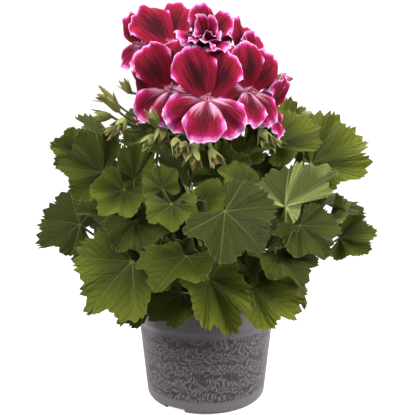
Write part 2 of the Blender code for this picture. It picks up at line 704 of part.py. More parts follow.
def make_pot(collection, cutters, finish):
    """One moulded shell: collar, wall, small rounded corner, foot ring and floor."""
    outer_foot = wall_radius(CORNER_RADIUS)
    corner = [
        (outer_foot - CORNER_RADIUS * (1 - math.cos(a)), CORNER_RADIUS * (1 - math.sin(a)))
        for a in (0, CORNER_ARC)
    ]
    floor_top = FOOT_HEIGHT + WALL
    collar_foot = COLLAR_BOTTOM + COLLAR_STEP
    profile = [
        (0, floor_top),
        (FOOT_RADIUS - WALL, floor_top),
        (wall_radius(floor_top + CORNER_RADIUS) - WALL, floor_top + CORNER_RADIUS),
        (WALL_TOP_RADIUS - WALL, COLLAR_BOTTOM),
        (RIM_RADIUS - COLLAR_DRAFT - WALL, collar_foot),
        (RIM_RADIUS - WALL, POT_HEIGHT),
        (RIM_RADIUS - RIM_EDGE, POT_HEIGHT),
        (RIM_RADIUS, POT_HEIGHT - RIM_EDGE),
        (RIM_RADIUS - COLLAR_DRAFT, collar_foot),
        (WALL_TOP_RADIUS, COLLAR_BOTTOM),
        *corner,
        (FOOT_RADIUS, 0),
        (FOOT_RADIUS - FOOT_WIDTH, 0),
        (FOOT_RADIUS - FOOT_WIDTH, FOOT_HEIGHT),
        (0, FOOT_HEIGHT),
    ]
    pot = turned("pot", profile, POT_SIDES, collection)
    pot.data.materials.append(finish)
    for k in range(NOTCHES):
        turn = Matrix.Rotation(math.radians(FIRST_NOTCH_DEGREES + 360 * k / NOTCHES), 4, "Z")
        notch = turn @ Matrix.Translation((FOOT_RADIUS, 0, 0))
        cut(pot, cutter_box(f"notch_cutter_{k}", NOTCH_SIZE, notch, cutters), f"notch_{k}")
        drain = turn @ Matrix.Translation((FOOT_RADIUS - DRAIN_INSET, DRAIN_OFFSET, FOOT_HEIGHT))
        cut(pot, cutter_box(f"drain_cutter_{k}", DRAIN_SIZE, drain, cutters), f"drain_{k}")


def soil_ripple(at):
    """How much the soil's top rises or falls at a place."""
    return SOIL_RIPPLE * math.sin(at.x * SOIL_RIPPLE_TURN + 1) * math.cos(at.y * SOIL_RIPPLE_TURN)


def make_soil(collection, cutters, finish, feet):
    """The peat that fills the pot, a little uneven on top, with a plain hole for each stem."""
    floor = FOOT_HEIGHT + WALL + SOIL_GAP
    side = WALL + SOIL_GAP
    edge = RIM_RADIUS - COLLAR_DRAFT - side - SOIL_GAP
    profile = [
        (0, SOIL_TOP + SOIL_CROWN),
        (SOIL_CROWN_RADIUS, SOIL_TOP + SOIL_CROWN * 0.7),
        (edge, SOIL_TOP - SOIL_CROWN),
        (edge, COLLAR_BOTTOM + COLLAR_STEP),
        (WALL_TOP_RADIUS - side - SOIL_GAP, COLLAR_BOTTOM),
        (wall_radius(floor + CORNER_RADIUS) - side - SOIL_GAP, floor + CORNER_RADIUS),
        (FOOT_RADIUS - side - SOIL_GAP * 2, floor),
        (0, floor),
    ]
    soil = turned("soil", profile, SOIL_SIDES, collection)
    for vertex in soil.data.vertices:
        if vertex.co.z > SOIL_TOP:
            vertex.co.z += soil_ripple(vertex.co)
    soil.data.materials.append(finish)
    radius = STEM_FOOT_RADIUS + SOIL_GAP * 2
    for k, (x, y) in enumerate(feet):
        shape = bmesh.new()
        bmesh.ops.create_cone(
            shape, cap_ends=True, segments=HOLE_SIDES, radius1=radius, radius2=radius,
            depth=HOLE_DEPTH * 2,
            matrix=Matrix.Translation((x * MM, y * MM, STEM_BOTTOM - SOIL_GAP + HOLE_DEPTH)),
        )
        mesh = bpy.data.meshes.new(f"hole_cutter_{k}")
        shape.to_mesh(mesh)
        shape.free()
        cut(soil, hide_cutter(add_object(mesh.name, mesh, cutters)), f"hole_{k}")


def new_collection(name):
    made = bpy.data.collections.new(name)
    bpy.context.scene.collection.children.link(made)
    return made


for old in list(bpy.data.objects):
    bpy.data.objects.remove(old, do_unlink=True)

plant = new_collection("regal_pelargonium")
cutters = new_collection("cutters")
leaf_finish = material("leaf_green", LEAF_GREEN, 0.6)
stem_finish = material("stem_green", STEM_GREEN, 0.6)
petal_finish = material("petal_crimson", PETAL_CRIMSON, 0.65)

feet = [route[0] for route in (*LEAFY_STEMS.values(), *FLOWERING_STEMS.values())]
make_pot(plant, cutters, material("pot_grey", POT_GREY, 0.5))
make_soil(plant, cutters, material("peat_brown", PEAT_BROWN, 0.95), feet)

room = Room()
stems = {}
lines = {}
pieces = {}
for group, finish in ((LEAFY_STEMS, leaf_finish), (FLOWERING_STEMS, stem_finish)):
    for name, route in group.items():
        stems[name], lines[name] = make_stem(name, route, plant, finish)
        pieces[name] = new_collection(name + "_pieces")
        room.take(stems[name])
room.take(bpy.data.objects["pot"])

for seed, (stem, *values) in enumerate(BLOOMS):
    name = "flowering_stem_" + stem
    grow_bloom(
        flower_of(name, *values, seed), f"bloom_{seed + 1:02d}", lines[name][-1], room, pieces[name],
        plant, petal_finish,
    )

for seed, (stem, *values) in enumerate(BUDS):
    name = "flowering_stem_" + stem
    grow_bud(name, *values, seed, lines[name][-1], room, pieces[name])

for seed, (stem, *values) in enumerate(LEAVES):
    name = "leafy_stem_" + stem
    grow_leaf(leaf_of(name, *values, seed), lines[name], room, pieces[name])

leafy_lines = {name: lines[name] for name in LEAFY_STEMS}
for seed, (joint, tip, face) in enumerate(row_leaves()):
    name = nearest_stem(joint, leafy_lines)
    leaf = leaf_of(name, joint, tip, face, *ROW_LEAF_FORM, ROW_LEAF_SEED + seed)
    leaf["teeth"] = ROW_LEAF_TEETH
    grow_leaf(leaf, lines[name], room, pieces[name])

for name, stem in stems.items():
    join_pieces(stem, pieces[name])
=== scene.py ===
"""The looks of a regal pelargonium in flower, in its round nursery pot.

Metres, +Z up, with the front towards -Y. Leaves, stalks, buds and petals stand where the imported
frame has them: each is grown by the frame's own rule, and then made finer.
"""

import math
import random

import bmesh
import bpy
import numpy as np
from mathutils import Matrix, Vector
from mathutils.bvhtree import BVHTree


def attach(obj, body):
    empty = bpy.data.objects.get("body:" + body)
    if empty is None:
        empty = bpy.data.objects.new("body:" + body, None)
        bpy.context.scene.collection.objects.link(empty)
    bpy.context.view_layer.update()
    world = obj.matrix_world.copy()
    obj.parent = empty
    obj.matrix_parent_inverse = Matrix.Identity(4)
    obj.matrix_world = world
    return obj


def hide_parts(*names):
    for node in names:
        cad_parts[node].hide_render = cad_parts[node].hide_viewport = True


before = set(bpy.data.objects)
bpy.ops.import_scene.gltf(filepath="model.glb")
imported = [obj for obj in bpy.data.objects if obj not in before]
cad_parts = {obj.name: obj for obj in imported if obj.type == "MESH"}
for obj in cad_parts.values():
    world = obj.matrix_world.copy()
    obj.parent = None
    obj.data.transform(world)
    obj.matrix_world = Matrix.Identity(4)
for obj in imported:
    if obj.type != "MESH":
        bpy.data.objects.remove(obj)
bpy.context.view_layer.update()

# Camera: close in front of the plant and level, at half of its height, so that the front leaves
# look larger than those behind and the pot shows no more of its top than a thin line.
CAMERA_PLACE = (0.0013, -0.360, 0.160)
CAMERA_LENS = 36.43
CAMERA_SHIFT = -0.018

camera = bpy.data.objects.new("camera", bpy.data.cameras.new("camera"))
bpy.context.scene.collection.objects.link(camera)
camera.location = CAMERA_PLACE
camera.rotation_euler = (math.pi / 2, 0, 0)
camera.data.sensor_width = 36
camera.data.lens = CAMERA_LENS
camera.data.shift_y = CAMERA_SHIFT
camera.data.clip_start = 0.01
bpy.context.scene.camera = camera

# Studio: a round white cove, whose floor bends up into its wall on every side, a soft lamp at
# each side of the plant, one overhead, a weak one in front, and one behind for the leaves' edges.
PAPER_WHITE = (0.36, 0.36, 0.36)
PAPER_CLOUD = 1.03
PAPER_GLOW = 0.80
COVE_RADIUS = 2.3
COVE_HEIGHT = 3.2
COVE_BEND = 1.0
COVE_BEND_POINTS = 17
COVE_TURNS = 64
SKY_STRENGTH = 0.24
LAMP_AIM = (0, 0, 0.16)
LAMPS = [
    ("left", (-1.15, -0.65, 0.95), 0.6, 33),
    ("right", (1.20, -0.45, 0.70), 0.6, 34),
    ("top", (-0.10, -0.35, 1.55), 0.6, 24),
    ("front", (0.35, -1.40, 0.75), 0.9, 10),
    ("behind", (0.30, 1.00, 1.40), 0.8, 15),
]


def step(operation):
    """A method that adds one node of arithmetic."""
    return lambda value, *others: value.maths(operation, *others)


class Value:
    """One output of a material's nodes. Arithmetic on it adds the nodes that do the sum."""

    __add__ = step("ADD")
    __sub__ = step("SUBTRACT")
    __mul__ = step("MULTIPLY")
    __truediv__ = step("DIVIDE")
    __mod__ = step("MODULO")
    __pow__ = step("POWER")
    __abs__ = step("ABSOLUTE")
    larger = step("MAXIMUM")
    root = step("SQRT")
    sine = step("SINE")
    cosine = step("COSINE")
    turn_from = step("ARCTAN2")
    whole = step("FLOOR")
    remainder = step("FRACT")

    def __init__(self, finish, socket):
        self.finish = finish
        self.socket = socket

    def maths(self, operation, *others, clamp=False):
        sources = dict(enumerate((self, *others)))
        return self.finish.node("Math", sources, operation=operation, use_clamp=clamp)

    def plus(self, other):
        """The sum, kept between 0 and 1."""
        return self.maths("ADD", other, clamp=True)

    def apart(self):
        return [self.finish.node("SeparateXYZ", {0: self}, axis) for axis in range(3)]

    def noise(self, scale, detail=3.0, rough=0.5):
        sources = {"Vector": self, "Scale": scale, "Detail": detail, "Roughness": rough}
        return self.finish.node("TexNoise", sources)

    def spread(self, low, high, to_low=0.0, to_high=1.0):
        """A smooth step of the value from low to high."""
        sources = {0: self, 1: low, 2: high, 3: to_low, 4: to_high}
        return self.finish.node("MapRange", sources, interpolation_type="SMOOTHSTEP")

    def mix(self, first, second):
        """A colour from the first to the second, with this value as the second one's share."""
        first, second = ((*c, 1) if isinstance(c, tuple) else c for c in (first, second))
        return self.finish.node("Mix", {0: self, 6: first, 7: second}, 2, data_type="RGBA")


class Finish:
    """A material while its nodes are wired."""

    def __init__(self, name, roughness, shine=0.12):
        self.material = bpy.data.materials.new(name)
        self.material.use_nodes = True
        self.tree = self.material.node_tree
        self.shader = self.tree.nodes["Principled BSDF"]
        self.shader.inputs["Roughness"].default_value = roughness
        self.shader.inputs["Specular IOR Level"].default_value = shine

    def feed(self, socket, source):
        if isinstance(source, Value):
            self.tree.links.new(source.socket, socket)
        else:
            socket.default_value = source

    def node(self, kind, sources, output=0, **settings):
        """A new node with its sources and settings, as the value of one of its outputs."""
        made = self.tree.nodes.new("ShaderNode" + kind)
        for name, setting in settings.items():
            setattr(made, name, setting)
        for key, source in sources.items():
            self.feed(made.inputs[key], source)
        return Value(self, made.outputs[output])

    def place(self):
        return self.node("TexCoord", {}, "Object")

    def flat(self):
        return self.node("Attribute", {}, "Vector", attribute_name="flat")

    def tone(self):
        return self.node("Attribute", {}, "Fac", attribute_name="tone")

    def bump(self, height, depth):
        sources = {"Height": height, "Distance": depth, "Strength": 1.0}
        self.feed(self.shader.inputs["Normal"], self.node("Bump", sources))

    def colour(self, source):
        self.feed(self.shader.inputs["Base Color"], source)


def scaled(colour, share):
    return tuple(v * share for v in colour)


def settled(made):
    """The object with its modifiers applied to its mesh."""
    graph = bpy.context.evaluated_depsgraph_get()
    mesh = bpy.data.meshes.new_from_object(made.evaluated_get(graph))
    made.modifiers.clear()
    made.data = mesh
    return made


def placed(name, data):
    """A new object in the scene with its mesh or lamp."""
    made = bpy.data.objects.new(name, data)
    bpy.context.scene.collection.objects.link(made)
    return made


def turned(name, profile, turns):
    """A shape of revolution about Z from its profile of (radius, height)."""
    mesh = bpy.data.meshes.new(name)
    shape = bmesh.new()
    corners = [shape.verts.new((r, 0, z)) for r, z in profile]
    for a, b in zip(corners, corners[1:]):
        shape.edges.new((a, b))
    shape.to_mesh(mesh)
    shape.free()
    made = placed(name, mesh)
    screw = made.modifiers.new("turning", "SCREW")
    screw.steps = turns
    screw.render_steps = turns
    screw.use_merge_vertices = True
    screw.merge_threshold = 0.00001
    return settled(made)


def arc(centre, radius, first, last, count):
    """Points on part of a circle in a profile, in degrees."""
    angles = [math.radians(first + (last - first) * k / (count - 1)) for k in range(count)]
    return [(centre[0] + radius * math.cos(a), centre[1] + radius * math.sin(a)) for a in angles]


cove_foot = arc((COVE_RADIUS - COVE_BEND, COVE_BEND), COVE_BEND, -90, 0, COVE_BEND_POINTS)
cove = turned("paper_cove", [(0, 0), *cove_foot, (COVE_RADIUS, COVE_HEIGHT)], COVE_TURNS)
cove.data.shade_smooth()
paper = Finish("studio_paper", 0.9)
paper.colour(paper.place().noise(60.0).mix(PAPER_WHITE, scaled(PAPER_WHITE, PAPER_CLOUD)))
paper.shader.inputs["Emission Color"].default_value = (1, 1, 1, 1)
paper.shader.inputs["Emission Strength"].default_value = PAPER_GLOW
cove.data.materials.append(paper.material)
cove.visible_diffuse = False

world = bpy.data.worlds.new("studio_air")
bpy.context.scene.world = world
world.use_nodes = True
air = world.node_tree.nodes["Background"]
air.inputs["Color"].default_value = (1, 1, 1, 1)
air.inputs["Strength"].default_value = SKY_STRENGTH
for name, at, width, power in LAMPS:
    lamp = placed(name, bpy.data.lights.new(name, "AREA"))
    lamp.data.size = width
    lamp.data.energy = power
    lamp.location = at
    lamp.rotation_euler = (Vector(LAMP_AIM) - lamp.location).to_track_quat("-Z", "Y").to_euler()
bpy.context.scene.view_settings.view_transform = "Standard"

# Pot: one thin moulding of grey plastic, a tapered wall under a wider collar, on a foot ring with
# three notches, each beside a drain hole. The wall carries a printed band, tone on tone.
RIM_RADIUS = 0.060
POT_HEIGHT = 0.079
COLLAR_BOTTOM = 0.0605
COLLAR_STEP = 0.0035
COLLAR_DRAFT = 0.0006
WALL_TOP_RADIUS = 0.0562
WALL_FOOT_RADIUS = 0.0488
WALL_MIDDLE = 0.030
CORNER_RADIUS = 0.004
FOOT_RADIUS = 0.0464
FOOT_HEIGHT = 0.0042
FOOT_WIDTH = 0.0022
WALL = 0.0016
LIP = 0.0007
FILLET = 0.0004
COLLAR_CHAMFER = 0.0003
FLOOR_INSET = 0.002
NOTCHES = 3
NOTCH_SIZE = (0.014, 0.017, 0.0068)
FIRST_NOTCH_DEGREES = 241.0
DRAIN_SIZE = (0.009, 0.005, 0.009)
DRAIN_INSET = 0.003
DRAIN_OFFSET = 0.0055
POT_TURNS = 144
OUTWARD_LEAST = 0.02
SHARP_ANGLE = math.radians(32)
POT_GREY = (0.133, 0.117, 0.126)
POT_CLOUD = 0.90
POT_GRAIN = 0.00003
PRINT_GREY = (0.036, 0.029, 0.033)
PRINT_BOTTOM = 0.0095
PRINT_TOP = 0.0585
PRINT_EDGE = 0.0006
PRINT_COLUMNS = 26
PRINT_CELL = 0.01225
PRINT_BEND = 0.34


def wall_radius(z):
    return WALL_FOOT_RADIUS + (WALL_TOP_RADIUS - WALL_FOOT_RADIUS) * z / COLLAR_BOTTOM


outer_foot = wall_radius(CORNER_RADIUS)
collar_foot = COLLAR_BOTTOM + COLLAR_STEP
collar_low = RIM_RADIUS - COLLAR_DRAFT
floor_top = FOOT_HEIGHT + WALL
floor_radius = FOOT_RADIUS - WALL - FLOOR_INSET
pot_profile = [
    (0, floor_top),
    (floor_radius, floor_top),
    *arc((floor_radius, floor_top + CORNER_RADIUS), CORNER_RADIUS, -80, -10, 5),
    (WALL_TOP_RADIUS - WALL, COLLAR_BOTTOM),
    (collar_low - WALL, collar_foot),
    (RIM_RADIUS - WALL, POT_HEIGHT - LIP),
    *arc((RIM_RADIUS - WALL + LIP, POT_HEIGHT - LIP), LIP, 150, 90, 3),
    *arc((RIM_RADIUS - LIP, POT_HEIGHT - LIP), LIP, 90, 0, 5),
    (collar_low, collar_foot + 2 * COLLAR_CHAMFER),
    (collar_low - COLLAR_CHAMFER, collar_foot),
    (WALL_TOP_RADIUS + FILLET, COLLAR_BOTTOM + FILLET / 2),
    (WALL_TOP_RADIUS, COLLAR_BOTTOM - FILLET),
    (wall_radius(WALL_MIDDLE), WALL_MIDDLE),
    *arc((outer_foot - CORNER_RADIUS, CORNER_RADIUS), CORNER_RADIUS, 0, -62, 7),
    (FOOT_RADIUS, FILLET * 1.5),
    (FOOT_RADIUS - FILLET, 0),
    (FOOT_RADIUS - FOOT_WIDTH, 0),
    (FOOT_RADIUS - FOOT_WIDTH, FOOT_HEIGHT),
    (0, FOOT_HEIGHT),
]
pot = turned("pot_shell", pot_profile, POT_TURNS)
cutters = []
for k in range(NOTCHES):
    turn = Matrix.Rotation(math.radians(FIRST_NOTCH_DEGREES + 360 * k / NOTCHES), 4, "Z")
    notch = turn @ Matrix.Translation((FOOT_RADIUS, 0, 0))
    drain = turn @ Matrix.Translation((FOOT_RADIUS - DRAIN_INSET, DRAIN_OFFSET, FOOT_HEIGHT))
    for kind, size, place in (("notch", NOTCH_SIZE, notch), ("drain", DRAIN_SIZE, drain)):
        shape = bmesh.new()
        bmesh.ops.create_cube(shape, size=1, matrix=place @ Matrix.Diagonal((*size, 1)))
        mesh = bpy.data.meshes.new(f"{kind}_{k}")
        shape.to_mesh(mesh)
        shape.free()
        cutters.append(placed(mesh.name, mesh))
        cut = pot.modifiers.new(mesh.name, "BOOLEAN")
        cut.operation = "DIFFERENCE"
        cut.object = cutters[-1]
settled(pot)
for cutter in cutters:
    bpy.data.objects.remove(cutter, do_unlink=True)


def clouded_grey(finish):
    return finish.place().noise(18.0, 2.0).mix(POT_GREY, scaled(POT_GREY, POT_CLOUD))


plastic = Finish("pot_grey_plastic", 0.36, 0.16)
plastic.colour(clouded_grey(plastic))
plastic.bump(plastic.place().noise(900.0, 2.0), POT_GRAIN)


def motif(across, along, petals, size, swing, line):
    """A rosette outline with a filled heart, in a cell from -0.5 to 0.5 each way."""
    out = (across**2.0 + along**2.0).root()
    wave = (along.turn_from(across) * petals).cosine()
    rim = abs(out - (wave * swing + size)).spread(line * 1.6, line * 0.6)
    halo = abs(out - wave * swing - size * 1.75).spread(line * 1.4, line * 0.6)
    heart = out.spread(size * 0.46, size * 0.36)
    return rim.larger(heart).larger(halo * wave.spread(-0.2, 0.2))


def centred(value):
    return value.remainder() - 0.5


printed = Finish("pot_printed_band", 0.42)
x, y, z = printed.place().apart()
aside, above = (
    printed.place().noise(scale, 1.0).spread(0.2, 0.8, -PRINT_BEND, PRINT_BEND)
    for scale in (74.0, 83.0)
)
round_pot = y.turn_from(x) * (PRINT_COLUMNS / math.tau) + aside
up_pot = (z - PRINT_BOTTOM) / PRINT_CELL + above
shifted = round_pot + up_pot.whole() % 2.0 * 0.5
large = motif(centred(shifted), centred(up_pot), 6.0, 0.30, 0.10, 0.060)
small = motif(centred(shifted + 0.5), centred(up_pot), 4.0, 0.13, 0.06, 0.055)
wavy = (round_pot * math.tau).sine() * 0.07
strand = abs(centred(up_pot + 0.5 + wavy)).spread(0.085, 0.045)
dotted = strand * abs(centred(round_pot * 6.0)).spread(0.33, 0.25)
over_foot = z.spread(PRINT_BOTTOM, PRINT_BOTTOM + PRINT_EDGE)
inside = over_foot * z.spread(PRINT_TOP, PRINT_TOP - PRINT_EDGE)
worn = printed.place().noise(240.0, 4.0).spread(0.30, 0.50, 0.72, 1.0)
inked = large.larger(small).larger(dotted) * inside * worn
printed.colour(inked.mix(clouded_grey(printed), PRINT_GREY))
printed.bump(printed.place().noise(900.0, 2.0), POT_GRAIN)

pot.data.materials.append(plastic.material)
pot.data.materials.append(printed.material)
for face in pot.data.polygons:
    outward = face.center.x * face.normal.x + face.center.y * face.normal.y > OUTWARD_LEAST
    if outward and CORNER_RADIUS * 0.5 < face.center.z < COLLAR_BOTTOM - COLLAR_CHAMFER:
        face.material_index = 1
pot.data.shade_smooth()
pot.data.set_sharp_from_angle(angle=SHARP_ANGLE)
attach(pot, "root")
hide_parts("pot")

# Peat: dark fibrous peat with loose crumbs on top, filled to a little under the rim. The body is
# one closed form, and the crumbs are small broken lumps pressed into its surface.
SOIL_TOP = 0.0715
SOIL_GAP = 0.0003
SOIL_INSET = 0.0006
SOIL_SHOULDER = 0.0005
SOIL_LOW = 0.012
SOIL_FOOT_INSET = 0.003
SOIL_RINGS = 20
SOIL_TURNS = 96
SOIL_MATCH = 0.0001
CRUMBS = 1800
CRUMB_SIZE = (0.0007, 0.0026)
CRUMB_INSET = 0.001
CRUMB_SEED = 11
CRUMB_SINK = 0.25
PEAT_DARK = (0.010, 0.007, 0.005)
PEAT_LIGHT = (0.045, 0.030, 0.020)


def soil_height(x, y):
    """The uneven top of the peat."""
    low = np.sin(x * 240 + 1) * np.cos(y * 240) * 0.0008
    return SOIL_TOP + low + np.sin(x * 900) * np.sin(y * 850 + 2) * 0.0004


soil_edge = collar_low - WALL - SOIL_GAP
soil_wall = WALL + SOIL_GAP
soil_profile = [
    *((soil_edge * k / SOIL_RINGS, SOIL_TOP) for k in range(SOIL_RINGS + 1)),
    (soil_edge, collar_foot + SOIL_SHOULDER),
    (WALL_TOP_RADIUS - soil_wall - SOIL_INSET, COLLAR_BOTTOM),
    (wall_radius(SOIL_LOW) - soil_wall - SOIL_INSET, SOIL_LOW),
    (FOOT_RADIUS - soil_wall - SOIL_FOOT_INSET, floor_top + SOIL_GAP),
    (0, floor_top + SOIL_GAP),
]
peat = turned("peat_body", soil_profile, SOIL_TURNS)
for vertex in peat.data.vertices:
    if vertex.co.z > SOIL_TOP - SOIL_MATCH:
        vertex.co.z = soil_height(vertex.co.x, vertex.co.y)
peat.data.shade_smooth()


class Growth:
    """A piece while it grows: points, faces, and the four values at each point for its finish."""

    def __init__(self):
        self.points = []
        self.values = []
        self.faces = []
        self.slots = []
        self.count = 0

    def add(self, points, faces, values=(0, 0, 0, 0), slot=0):
        points = np.asarray(points, float).reshape(-1, 3)
        self.points.append(points)
        self.values.append(np.broadcast_to(np.asarray(values, float), (len(points), 4)))
        for block in faces:
            self.faces.append(np.asarray(block, int) + self.count)
            self.slots.append(np.full(len(block), slot))
        self.count += len(points)

    def piece(self, name, finishes, node, slot):
        """The finished object, which stands for its node of the frame."""
        points = np.concatenate(self.points)
        corners = np.concatenate([block.ravel() for block in self.faces])
        sizes = np.concatenate([np.full(len(block), block.shape[1]) for block in self.faces])
        starts = np.concatenate([[0], np.cumsum(sizes)[:-1]])
        mesh = bpy.data.meshes.new(name)
        mesh.vertices.add(len(points))
        mesh.loops.add(len(corners))
        mesh.polygons.add(len(sizes))
        mesh.vertices.foreach_set("co", points.astype(np.float32).ravel())
        mesh.loops.foreach_set("vertex_index", corners.astype(np.int32))
        mesh.polygons.foreach_set("loop_start", starts.astype(np.int32))
        slots = np.concatenate(self.slots)
        mesh.polygons.foreach_set("material_index", slots.astype(np.int32))
        mesh.update(calc_edges=True)
        mesh.validate()
        values = np.concatenate(self.values).astype(np.float32)
        flat = mesh.attributes.new("flat", "FLOAT_VECTOR", "POINT")
        flat.data.foreach_set("vector", values[:, :3].ravel())
        tone = mesh.attributes.new("tone", "FLOAT", "POINT")
        tone.data.foreach_set("value", values[:, 3].copy())
        for finish in finishes:
            mesh.materials.append(finish.material)
        mesh.shade_smooth()
        made = placed(name, mesh)
        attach(made, "root")
        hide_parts(node)


lump = bmesh.new()
bmesh.ops.create_icosphere(lump, subdivisions=1, radius=1)
lump_points = np.array([v.co for v in lump.verts])
lump_faces = np.array([[v.index for v in face.verts] for face in lump.faces])
lump.free()
draw = np.random.default_rng(CRUMB_SEED)
crumbs = Growth()
for k in range(CRUMBS):
    out = (soil_edge - CRUMB_INSET) * math.sqrt(draw.uniform(0.02, 1))
    way = draw.uniform(0, math.tau)
    x, y = out * math.cos(way), out * math.sin(way)
    size = CRUMB_SIZE[0] + (CRUMB_SIZE[1] - CRUMB_SIZE[0]) * draw.uniform(0, 1) ** 3
    turn, _ = np.linalg.qr(draw.normal(size=(3, 3)))
    uneven = draw.uniform(0.7, 1.2, (len(lump_points), 1))
    shape = lump_points * uneven * (1, draw.uniform(0.5, 1), 0.6)
    at = (x, y, soil_height(x, y) + size * CRUMB_SINK)
    crumbs.add(shape @ turn.T * size + at, [lump_faces], (x, y, 0, draw.uniform(0, 1)))

soil_finish = Finish("dark_peat", 0.95)
speck = soil_finish.place().noise(700.0, 6.0, 0.7)
soil_finish.colour(speck.spread(0.35, 0.75).mix(PEAT_DARK, PEAT_LIGHT))
soil_finish.bump(speck, 0.0008)
peat.data.materials.append(soil_finish.material)
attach(peat, "root")
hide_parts("soil")
crumb_finish = Finish("peat_crumbs", 0.95)
fleck = crumb_finish.place().noise(1500.0, 4.0)
pale = (crumb_finish.tone() * 0.6).plus(fleck.spread(0.4, 0.8, 0.0, 0.5))
crumb_finish.colour(pale.mix(PEAT_DARK, PEAT_LIGHT))
crumb_finish.bump(fleck, 0.0003)
crumbs.piece("peat_crumbs", [crumb_finish], "soil", "soil")

# Leafy stems: soft green stems, woody at the foot, with long-stalked leaves. A blade is a pleated
# fan of five shallow lobes with sharp teeth, downy, its veins sunk above and raised below.
MM = 0.001
UP = Vector((0, 0, 1))
SPIRAL = 2.4
LEAF_THICKNESS = 0.0008
LOBE_ANGLE = math.radians(52)
BLADE_HALF_ANGLE = math.radians(130)
LOBE_CUT = 0.15
TOOTH_CUT = 0.13
PLEAT = 0.09
MARGIN_WAVE = 0.05
FOLD_ROUNDING = 0.12
TEETH_OF_LENGTH = ((0.038, 10), (0.0, 7))
ROW_LEAF_TEETH = 6
ROW_LEAF_FORM = (0.08, 0.2, 0.5, 1.1)
YOUNG_LEAF_FORM = {"width": 1.12, "cup": 0.22, "fold": 0.25, "droop": 0.6, "teeth": 5}
STALK_RADIUS = 0.0012
STALK_RISE = 0.013
STALK_SLOPE = 0.35
STALK_ARRIVAL = (-0.19, 0, -0.41)
STALK_SWELLING = ((0, 0.1, 0.5, 0.93, 1), (1.5, 1.05, 0.9, 0.8, 1.0))
STALK_POINTS = 16
STALK_SIDES = 9
STALK_HAIRS = 90
STEM_FOOT_RADIUS = 0.0036
STEM_TIP_RADIUS = 0.0022
STEM_POINTS = 5
FINE_STEM_POINTS = 40
STEM_SIDES = 14
STEM_HAIRS = 260
STEM_BOTTOM = SOIL_TOP - 0.014
STEM_STRAIGHT = 0.004
TRIES = 220
ROW_LEAF_SEED = 100
ROW_TONE_SEED = 900
BETWEEN_SEED = 800
LEAFY_SEED_STEP = 31
LEAFY_SEED = 7
LEAF_PHASE = 1.7
LEAF_NUDGE = 0.018
LEAF_TILT = math.radians(30)
MATCH = 0.0002
MOST_OFF = 0.12
FINE_TEETH = 34
FINE_CUT = 0.070
COARSE_CUT = 0.045
SINUS_CUT = 0.03
STEPS_A_TOOTH = 4
ROW_STEPS_A_TOOTH = 2
BLADE_SHARES = (0.015, 0.08, 0.18, 0.30, 0.43, 0.56, 0.68, 0.79, 0.88, 0.95, 1.0)
YOUNG_TEETH = 20
YOUNG_STEPS = 2
YOUNG_SHARES = (0.02, 0.2, 0.42, 0.64, 0.84, 1.0)
YOUNG_A_STEM = 9
YOUNG_LENGTH = (0.013, 0.021)
YOUNG_REACH = (0.010, 0.024)
YOUNG_RISE = (0.004, 0.012)
# The young leaves get dark tones: painted shade inside the crown.
YOUNG_TONE_IN_SHADE = (0, 0.25)
YOUNG_STALK_RADII = (0.0011, 0.0007)
YOUNG_STALK_POINTS = 10
YOUNG_STALK_SIDES = 7
YOUNG_STALK_HAIRS = 24
YOUNG_DOWN = 0.0008
FAN_PLEAT = 0.022
DEEPER_PLEAT = 0.09
BLADE_HALF = 0.00028
MARGIN_THINNING = 0.6
BRACT_HALF = 0.00016
BRACT_ROWS = 8
BRACT_COLUMNS = 5
STIPULE = (0.0065, 0.0019, 0.15)
STIPULE_HAIRS = 12
TIP_BRACTS = 5
TIP_BRACT = (0.009, 0.0024, -0.12)
TIP_BRACT_HAIRS = 20
DOWN_SLOT = 1
DOWN_LENGTH = 0.0009
DOWN_THICKNESS = 0.045
DOWN_CORNERS = (0, 2.094, 4.189)

# Each stem: name, foot on the soil, then the points that it grows through, in millimetres.
LEAFY_STEMS = {
    "leafy_stem_front_left": [(-14, -20), (-18, -28, 95), (-26, -40, 122), (-31, -45, 150)],
    "leafy_stem_left": [(-24, -4), (-34, -8, 110), (-50, -14, 145), (-60, -17, 176)],
    "leafy_stem_front": [(2, -24), (3, -36, 100), (0, -50, 132), (-7, -54, 160)],
    "leafy_stem_front_right": [(17, -16), (24, -28, 92), (32, -38, 120), (36, -38, 152)],
    "leafy_stem_right": [(25, 2), (38, 2, 105), (56, 4, 140), (66, 2, 176)],
    "leafy_stem_back_right": [(18, 18), (30, 34, 105), (40, 48, 140), (43, 52, 175)],
    "leafy_stem_back": [(-2, 25), (-4, 42, 105), (-6, 56, 140), (-6, 60, 175)],
    "leafy_stem_back_left": [(-20, 16), (-36, 32, 105), (-48, 42, 140), (-52, 46, 175)],
}

